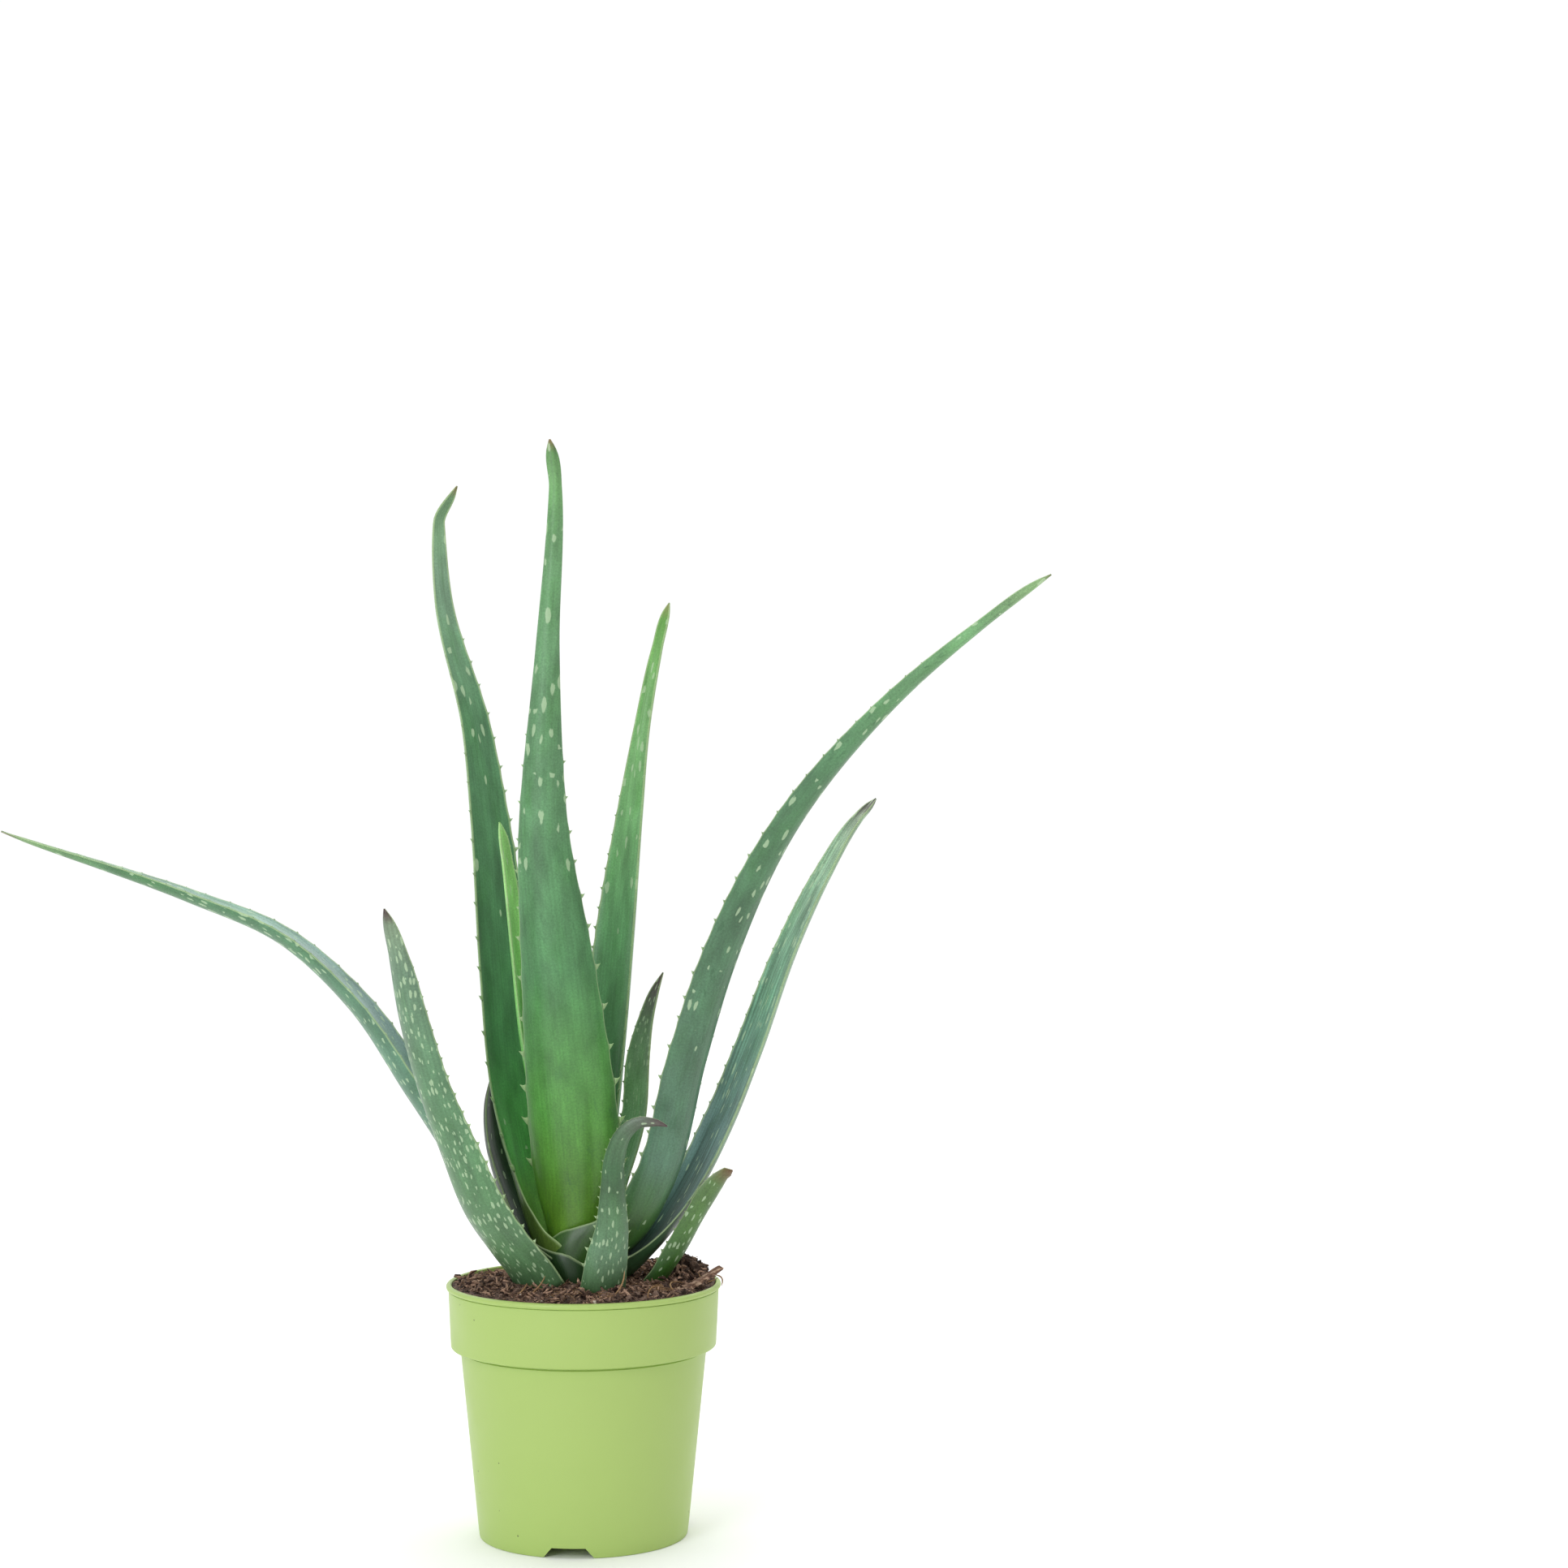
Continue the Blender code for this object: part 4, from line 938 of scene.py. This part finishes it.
def section_ring(section, teeth):
    """Points round a section, and for each its signed place across, and whether it is on the hollow face."""
    radius = arc_radius(section.half, section.curve)
    edge = min(EDGE, 0.5 * section.thick)
    back_point = section.middle - section.inward * (0.5 * arc_depth(section.half, section.curve))
    swell = {margin: margin_swell(section, teeth[margin]) for margin in (-1, 1)}
    back, face = [], []
    for index in range(-HALF_ARC_STEPS, HALF_ARC_STEPS + 1):
        share = math.sin(0.5 * math.pi * index / HALF_ARC_STEPS)
        angle = section.curve * share
        reach = section.inward * math.cos(angle) - section.side * math.sin(angle)
        outward = section.side * math.cos(angle) + section.inward * math.sin(angle)
        stretch = swell[1 if share > 0.0 else -1] * abs(share) ** 12 * (1.0 if share > 0.0 else -1.0)
        point = (back_point + section.inward * (radius * (1.0 - math.cos(angle)))
                 + section.side * (radius * math.sin(angle)) + outward * stretch)
        depth = edge + (section.thick - edge) * (1.0 - share * share)
        back.append((point, share, 0.0))
        face.append((point + reach * depth, share, 1.0))
    ends = []
    for margin, outer, inner in ((1, back[-1], face[-1]), (-1, back[0], face[0])):
        outward = (section.side * (margin * math.cos(section.curve))
                   + section.inward * math.sin(section.curve))
        ends.append((0.5 * (outer[0] + inner[0]) + outward * (0.45 * edge), float(margin), 0.5))
    return back + [ends[0]] + face[::-1] + [ends[1]]


def tooth_shape():
    """One tooth of unit length: a soft, flattened cone that hooks towards the leaf's tip along +Y."""
    start_clean()
    rings = [(0.62 * (1.0 - share) ** 1.15 + 0.03, (0.0, 0.62 * share ** 1.7, share - 0.28))
             for share in (0.0, 0.28, 0.5, 0.7, 0.86, 1.0)]
    obj = extrude_rings(10, rings)
    obj.data.transform(Matrix.Diagonal((0.42, 1.0, 1.0, 1.0)))
    return take_shape(obj)


def leaf_mesh(leaf, tooth, rng):
    """The leaf's blade as one closed skin, lofted through unlike sections, with its teeth set in the margins.
    No operator lofts a section that changes its curve as it goes, so the skin is built ring by ring."""
    sections = leaf_sections(leaf)
    teeth = tooth_places(leaf, rng)
    points, place, surface = [], [], []
    length = sections[-1].along
    for section in sections:
        span = arc_radius(section.half, section.curve) * section.curve
        for point, across, face in section_ring(section, teeth):
            points.append(point)
            place.append((abs(across), section.along / length, face, 1.0))
            surface.append((across * span * MM, section.along * MM))
    around = len(points) // len(sections)
    faces = []
    for ring in range(len(sections) - 1):
        low, high = ring * around, (ring + 1) * around
        for index in range(around):
            after = (index + 1) % around
            faces.append((low + index, low + after, high + after, high + index))
    faces.append(tuple(range(around))[::-1])
    faces.append(tuple(range(len(points) - around, len(points))))
    skin_faces = len(faces)
    for margin, margin_teeth in teeth.items():
        for at, size in margin_teeth:
            section = min(sections, key=lambda candidate: abs(candidate.along - at))
            outward = (section.side * margin + section.inward * 0.45).normalized()
            across = outward.cross(section.forward).normalized()
            on_ring = 2 * HALF_ARC_STEPS + 1 if margin > 0 else around - 1
            number = sections.index(section) * around + on_ring
            turn = Matrix((across, section.forward, outward)).transposed()
            start = len(points)
            points += [points[number] + turn @ Vector(point) * size for point in tooth[0]]
            place += [(1.0, at / length, 0.5, 1.0)] * len(tooth[0])
            surface += [(0.0, at * MM)] * len(tooth[0])
            faces += [tuple(index + start for index in face) for face in tooth[1]]
    obj = mesh_object("aloe_" + leaf.node, [CROWN + Vector(point) * MM for point in points], faces)
    mesh = obj.data
    mesh.polygons.foreach_set("use_smooth", [True] * len(mesh.polygons))
    mesh.polygons.foreach_set("material_index", [0] * skin_faces + [1] * (len(faces) - skin_faces))
    attribute = mesh.color_attributes.new("leaf_place", "FLOAT_COLOR", "POINT")
    attribute.data.foreach_set("color", np.array(place, dtype=np.float32).ravel())
    corners = np.empty(len(mesh.loops), dtype=np.int32)
    mesh.loops.foreach_get("vertex_index", corners)
    layer = mesh.uv_layers.new(name="leaf_surface")
    layer.data.foreach_set("uv", np.array(surface, dtype=np.float32)[corners].ravel())
    return obj


def leaf_skin(leaf, colours):
    """Waxy aloe skin: a thin bloom over fleshy green gives a soft sheen, with fine lines along the leaf, pale
    raised flecks across it, worn darker marks on older leaves and a horny pale line at the margin."""
    leaf_name = leaf.node.replace("leaf_", "").replace("_", " ")
    material, tree, shader = new_material("waxy aloe skin, " + leaf_name)
    place = add_node(tree, "Attribute", attribute_name="leaf_place")
    parts = add_node(tree, "SeparateColor", {"Color": place.outputs["Color"]})
    across, along, face = parts.outputs["Red"], parts.outputs["Green"], parts.outputs["Blue"]
    surface = add_node(tree, "UVMap", uv_map="leaf_surface").outputs["UV"]

    waver = add_node(tree, "TexNoise", {"Vector": surface, "Scale": 1.0 / 0.02, "Detail": 2.0})
    nudge = add_node(tree, "MapRange", [waver.outputs["Fac"], 0.0, 1.0, -0.022, 0.022])
    reach = add_node(tree, "Math", [along, nudge.outputs[0]], operation="ADD")
    # The stops hold each leaf's colours along its length; on two leaves the foot is darkened as painted
    # shade, and on one face the pale blue-grey is partly painted sheen.
    back = set_stops(add_node(tree, "ValToRGB", {"Fac": reach.outputs[0]}), leaf.back)
    hollow = set_stops(add_node(tree, "ValToRGB", {"Fac": reach.outputs[0]}), leaf.face)
    green = add_node(tree, "Mix", {
        0: face, 6: back.outputs["Color"], 7: hollow.outputs["Color"]}, data_type="RGBA")

    # Broad patches of lighter and darker green, about 9 mm wide and 22 mm long.
    patch_map = add_node(tree, "Mapping", {"Vector": surface, "Scale": (1.0 / 0.009, 1.0 / 0.022, 1.0)})
    patches = add_node(tree, "TexNoise", {"Vector": patch_map.outputs[0], "Scale": 1.0, "Detail": 4.0})
    patch_shade = add_node(tree, "MapRange", [patches.outputs["Fac"], 0.25, 0.75, 0.68, 1.28])
    # Grain under a millimetre across, where the wax is thinner or thicker.
    grain = add_node(tree, "TexNoise", {
        "Vector": surface, "Scale": 1.0 / 0.0009, "Detail": 3.0, "Roughness": 0.7})
    grain_shade = add_node(tree, "MapRange", [grain.outputs["Fac"], 0.3, 0.7, 0.8, 1.2])
    cloudy = add_node(tree, "Math", [patch_shade.outputs[0], grain_shade.outputs[0]], operation="MULTIPLY")
    # Fine lines along the leaf, about a millimetre apart.
    line_map = add_node(tree, "Mapping", {"Vector": surface, "Scale": (1.0 / 0.0011, 1.0 / 0.045, 1.0)})
    lines = add_node(tree, "TexNoise", {"Vector": line_map.outputs[0], "Scale": 1.0, "Detail": 3.0})
    line_depth = add_node(tree, "MapRange", [face, 0.0, 1.0, leaf.streaks, leaf.face_streaks])
    line_swing = add_node(tree, "MapRange", [lines.outputs["Fac"], 0.3, 0.7, -1.0, 1.0])
    line_shade = add_node(tree, "Math", [
        line_swing.outputs[0], line_depth.outputs[0], 1.0], operation="MULTIPLY_ADD")
    shade = add_node(tree, "Math", [cloudy.outputs[0], line_shade.outputs[0]], operation="MULTIPLY")
    shaded = add_node(tree, "VectorMath", {
        0: green.outputs[2], "Scale": shade.outputs[0]}, operation="SCALE")
    cloud = add_node(tree, "TexNoise", {
        "Vector": patch_map.outputs[0], "Scale": 0.7, "Detail": 5.0, "Roughness": 0.65, "Distortion": 0.4})
    thin = add_node(tree, "MapRange", [cloud.outputs["Fac"], 0.5, 0.68, 0.0, 0.38])
    # Where the pale bloom is rubbed off, the fresh green underneath shows.
    rubbed = add_node(tree, "Mix", {
        0: thin.outputs[0], 6: shaded.outputs[0], 7: (0.55, 0.86, 0.42, 1.0)}, data_type="RGBA",
        blend_type="MULTIPLY")
    skin = rubbed.outputs[2]

    if leaf.scuffs:
        scuff_map = add_node(tree, "Mapping", {
            "Vector": surface, "Scale": (1.0 / 0.006, 1.0 / 0.014, 1.0), "Location": (3.7, 1.3, 0.0)})
        scuff_noise = add_node(tree, "TexNoise", {
            "Vector": scuff_map.outputs[0], "Scale": 1.0, "Detail": 6.0, "Roughness": 0.6,
            "Distortion": 0.6})
        scuff = add_node(tree, "MapRange", [
            scuff_noise.outputs["Fac"], 0.60, 0.66, 0.0, 0.55 * leaf.scuffs])
        worn = add_node(tree, "Mix", {
            0: scuff.outputs[0], 6: skin, 7: (*linear("#2F5A38"), 1.0)}, data_type="RGBA")
        skin = worn.outputs[2]

    # Pale flecks: oval cells, some of them filled, thicker in some bands across the leaf than in others.
    wide, tall = leaf.fleck_size
    fleck_map = add_node(tree, "Mapping", {
        "Vector": surface, "Scale": (1.0 / (wide * MM), 1.0 / (tall * MM), 1.0)})
    ragged = add_node(tree, "TexNoise", {"Vector": fleck_map.outputs[0], "Scale": 1.7, "Detail": 3.0})
    warp = add_node(tree, "VectorMath", [
        ragged.outputs["Color"], (0.55, 0.55, 0.0), fleck_map.outputs[0]], operation="MULTIPLY_ADD")
    cells = add_node(tree, "TexVoronoi", {
        "Vector": warp.outputs[0], "Scale": 1.0, "Randomness": 0.9}, voronoi_dimensions="2D")
    cell = add_node(tree, "SeparateColor", {"Color": cells.outputs["Color"]})
    size = add_node(tree, "MapRange", [cell.outputs["Green"], 0.0, 1.0, 0.12, 0.36])
    inside = add_node(tree, "Math", [size.outputs[0], cells.outputs["Distance"]], operation="SUBTRACT")
    oval = add_node(tree, "MapRange", [inside.outputs[0], -0.02, 0.06, 0.0, 1.0])
    amount = set_stops(add_node(tree, "ValToRGB", {"Fac": reach.outputs[0]}), leaf.flecks)
    band_map = add_node(tree, "Mapping", {"Vector": surface, "Scale": (1.0 / 0.03, 1.0 / 0.011, 1.0)})
    bands = add_node(tree, "TexNoise", {"Vector": band_map.outputs[0], "Scale": 1.0, "Detail": 1.0})
    band = add_node(tree, "MapRange", [bands.outputs["Fac"], 0.35, 0.62, 0.25, 1.3])
    chance = add_node(tree, "Math", [amount.outputs["Color"], band.outputs[0]], operation="MULTIPLY")
    filled = add_node(tree, "Math", [cell.outputs["Red"], chance.outputs[0]], operation="LESS_THAN")
    fleck = add_node(tree, "Math", [oval.outputs[0], filled.outputs[0]], operation="MULTIPLY")
    fleck_strength = add_node(tree, "Math", [fleck.outputs[0], 0.55], operation="MULTIPLY")
    flecked = add_node(tree, "Mix", {
        0: fleck_strength.outputs[0], 6: skin, 7: (*colours.fleck, 1.0)}, data_type="RGBA")

    margin = add_node(tree, "MapRange", [across, 0.968, 1.0, 0.0, 0.55])
    rimmed = add_node(tree, "Mix", {
        0: margin.outputs[0], 6: flecked.outputs[2], 7: (*colours.margin, 1.0)}, data_type="RGBA")
    tree.links.new(rimmed.outputs[2], shader.inputs["Base Color"])

    sheen = add_node(tree, "MapRange", [patches.outputs["Fac"], 0.3, 0.7, 0.34, 0.5])
    tree.links.new(sheen.outputs[0], shader.inputs["Roughness"])
    relief = add_node(tree, "Math", [fleck.outputs[0], 0.5, lines.outputs["Fac"]], operation="MULTIPLY_ADD")
    bump = add_node(tree, "Bump", {"Height": relief.outputs[0], "Strength": 0.22, "Distance": 0.0004})
    tree.links.new(bump.outputs["Normal"], shader.inputs["Normal"])
    shader.inputs["IOR"].default_value = 1.45
    shader.inputs["Coat Weight"].default_value = 0.22
    shader.inputs["Coat Roughness"].default_value = 0.3
    return material


def tooth_horn(colours):
    """Soft leaf horn: pale, smooth and a little glossy, yellower where it joins the leaf."""
    material, tree, shader = new_material("leaf horn, pale")
    place = add_node(tree, "TexCoord").outputs["Object"]
    shade = add_node(tree, "TexNoise", {"Vector": place, "Scale": 1.0 / 0.002, "Detail": 2.0})
    mixed = add_node(tree, "Mix", {
        0: shade.outputs["Fac"], 6: (*linear("#9DBE78"), 1.0), 7: (*colours.tooth, 1.0)}, data_type="RGBA")
    tree.links.new(mixed.outputs[2], shader.inputs["Base Color"])
    shader.inputs["Roughness"].default_value = 0.4
    return material


class ALOE_OT_leaves(bpy.types.Operator):
    """Model every leaf with its sheathing base, toothed margins and flecked, waxy skin"""
    bl_idname = "aloe.leaves"
    bl_label = "Leaves"

    def execute(self, context):
        colours = context.scene.aloe_leaves
        rng = random.Random(SEED)
        tooth = tooth_shape()
        horn = tooth_horn(colours)
        for leaf in LEAVES:
            obj = leaf_mesh(leaf, tooth, rng)
            own(obj, leaf_skin(leaf, colours), [leaf.node])
            obj.data.materials.append(horn)
        return {"FINISHED"}


# ---- stage --------------------------------------------------------------------------------------
def soft_box(name, place, target, size, power, colour):
    """A rectangular studio light that faces its target."""
    light = bpy.data.lights.new(name, "AREA")
    light.shape = "RECTANGLE"
    light.size, light.size_y = size
    light.energy = power
    light.color = linear(colour)
    obj = bpy.data.objects.new(name, light)
    obj.location = place
    obj.rotation_euler = (Vector(target) - Vector(place)).to_track_quat("-Z", "Y").to_euler()
    bpy.context.scene.collection.objects.link(obj)


class ALOE_OT_stage(bpy.types.Operator):
    """Lay the pale floor and set the studio light and the camera"""
    bl_idname = "aloe.stage"
    bl_label = "Studio stage"

    def execute(self, context):
        stage = context.scene.aloe_stage
        start_clean()
        bpy.ops.mesh.primitive_plane_add(size=5.2, location=(0.0, 0.3, 0.0))
        floor = bpy.context.object
        settle(floor, "studio_floor")
        # Matt paper spreads its light evenly, so it shows no highlight and no horizon.
        material, tree, shader = new_material("matt white paper")
        shader.inputs["Base Color"].default_value = (*stage.floor, 1.0)
        shader.inputs["Roughness"].default_value = 0.9
        floor.data.materials.append(material)

        world = bpy.data.worlds.new("studio")
        context.scene.world = world
        world.use_nodes = True
        tree = world.node_tree
        view = add_node(tree, "TexCoord").outputs["Generated"]
        parts = add_node(tree, "SeparateXYZ", [view])
        # A bright sweep behind the plant and a dimmer room behind the camera.
        depth = add_node(tree, "MapRange", [
            parts.outputs["Y"], 0.1, 0.85, stage.room, 1.02], interpolation_type="SMOOTHSTEP")
        tree.links.new(depth.outputs[0], tree.nodes["Background"].inputs["Strength"])
        tree.nodes["Background"].inputs["Color"].default_value = (1.0, 1.0, 1.0, 1.0)
        middle = (POT_AXIS.x, POT_AXIS.y, 0.22)
        soft_box("top", (0.0, 1.3, 2.4), (0.0, 1.25, 0.0), (5.0, 5.0), 75.0, "#FFFFFF")
        soft_box("key", (-0.9, -1.7, 1.0), middle, (0.8, 1.2), 17.0, "#F6FAFF")
        soft_box("fill", (1.4, -1.6, 0.7), middle, (0.8, 1.2), 1.0, "#FFFBF2")

        camera = bpy.data.cameras.new("camera")
        camera.lens = stage.lens
        camera.sensor_width = 36.0
        holder = bpy.data.objects.new("camera", camera)
        holder.location = (POT_AXIS.x + stage.aside, POT_AXIS.y - stage.distance, stage.height)
        holder.rotation_euler = (math.radians(90.0), 0.0, 0.0)
        context.scene.collection.objects.link(holder)
        context.scene.camera = holder
        context.scene.view_settings.view_transform = "Standard"
        return {"FINISHED"}


class ALOE_PT_panel(bpy.types.Panel):
    bl_label = "Potted aloe"
    bl_idname = "ALOE_PT_panel"
    bl_space_type = "VIEW_3D"
    bl_region_type = "UI"
    bl_category = "Aloe"

    def draw(self, context):
        for operator in OPERATORS:
            self.layout.operator(operator.bl_idname)
        for name in SETTINGS:
            group = getattr(context.scene, name)
            box = self.layout.box()
            for field in group.__annotations__:
                box.prop(group, field)


OPERATORS = (ALOE_OT_pot, ALOE_OT_soil, ALOE_OT_chip, ALOE_OT_leaves, ALOE_OT_stage)
SETTINGS = {"aloe_pot": AloePotSettings, "aloe_soil": AloeSoilSettings, "aloe_leaves": AloeLeafSettings,
            "aloe_stage": AloeStageSettings}


def register():
    for name, group in SETTINGS.items():
        bpy.utils.register_class(group)
        setattr(bpy.types.Scene, name, PointerProperty(type=group))
    for operator in OPERATORS:
        bpy.utils.register_class(operator)
    bpy.utils.register_class(ALOE_PT_panel)


def unregister():
    bpy.utils.unregister_class(ALOE_PT_panel)
    for operator in reversed(OPERATORS):
        bpy.utils.unregister_class(operator)
    for name, group in reversed(SETTINGS.items()):
        delattr(bpy.types.Scene, name)
        bpy.utils.unregister_class(group)


def main():
    register()
    bpy.ops.aloe.stage()
    bpy.ops.aloe.pot()
    bpy.ops.aloe.soil()
    bpy.ops.aloe.chip()
    bpy.ops.aloe.leaves()


if __name__ == "__main__":
    main()
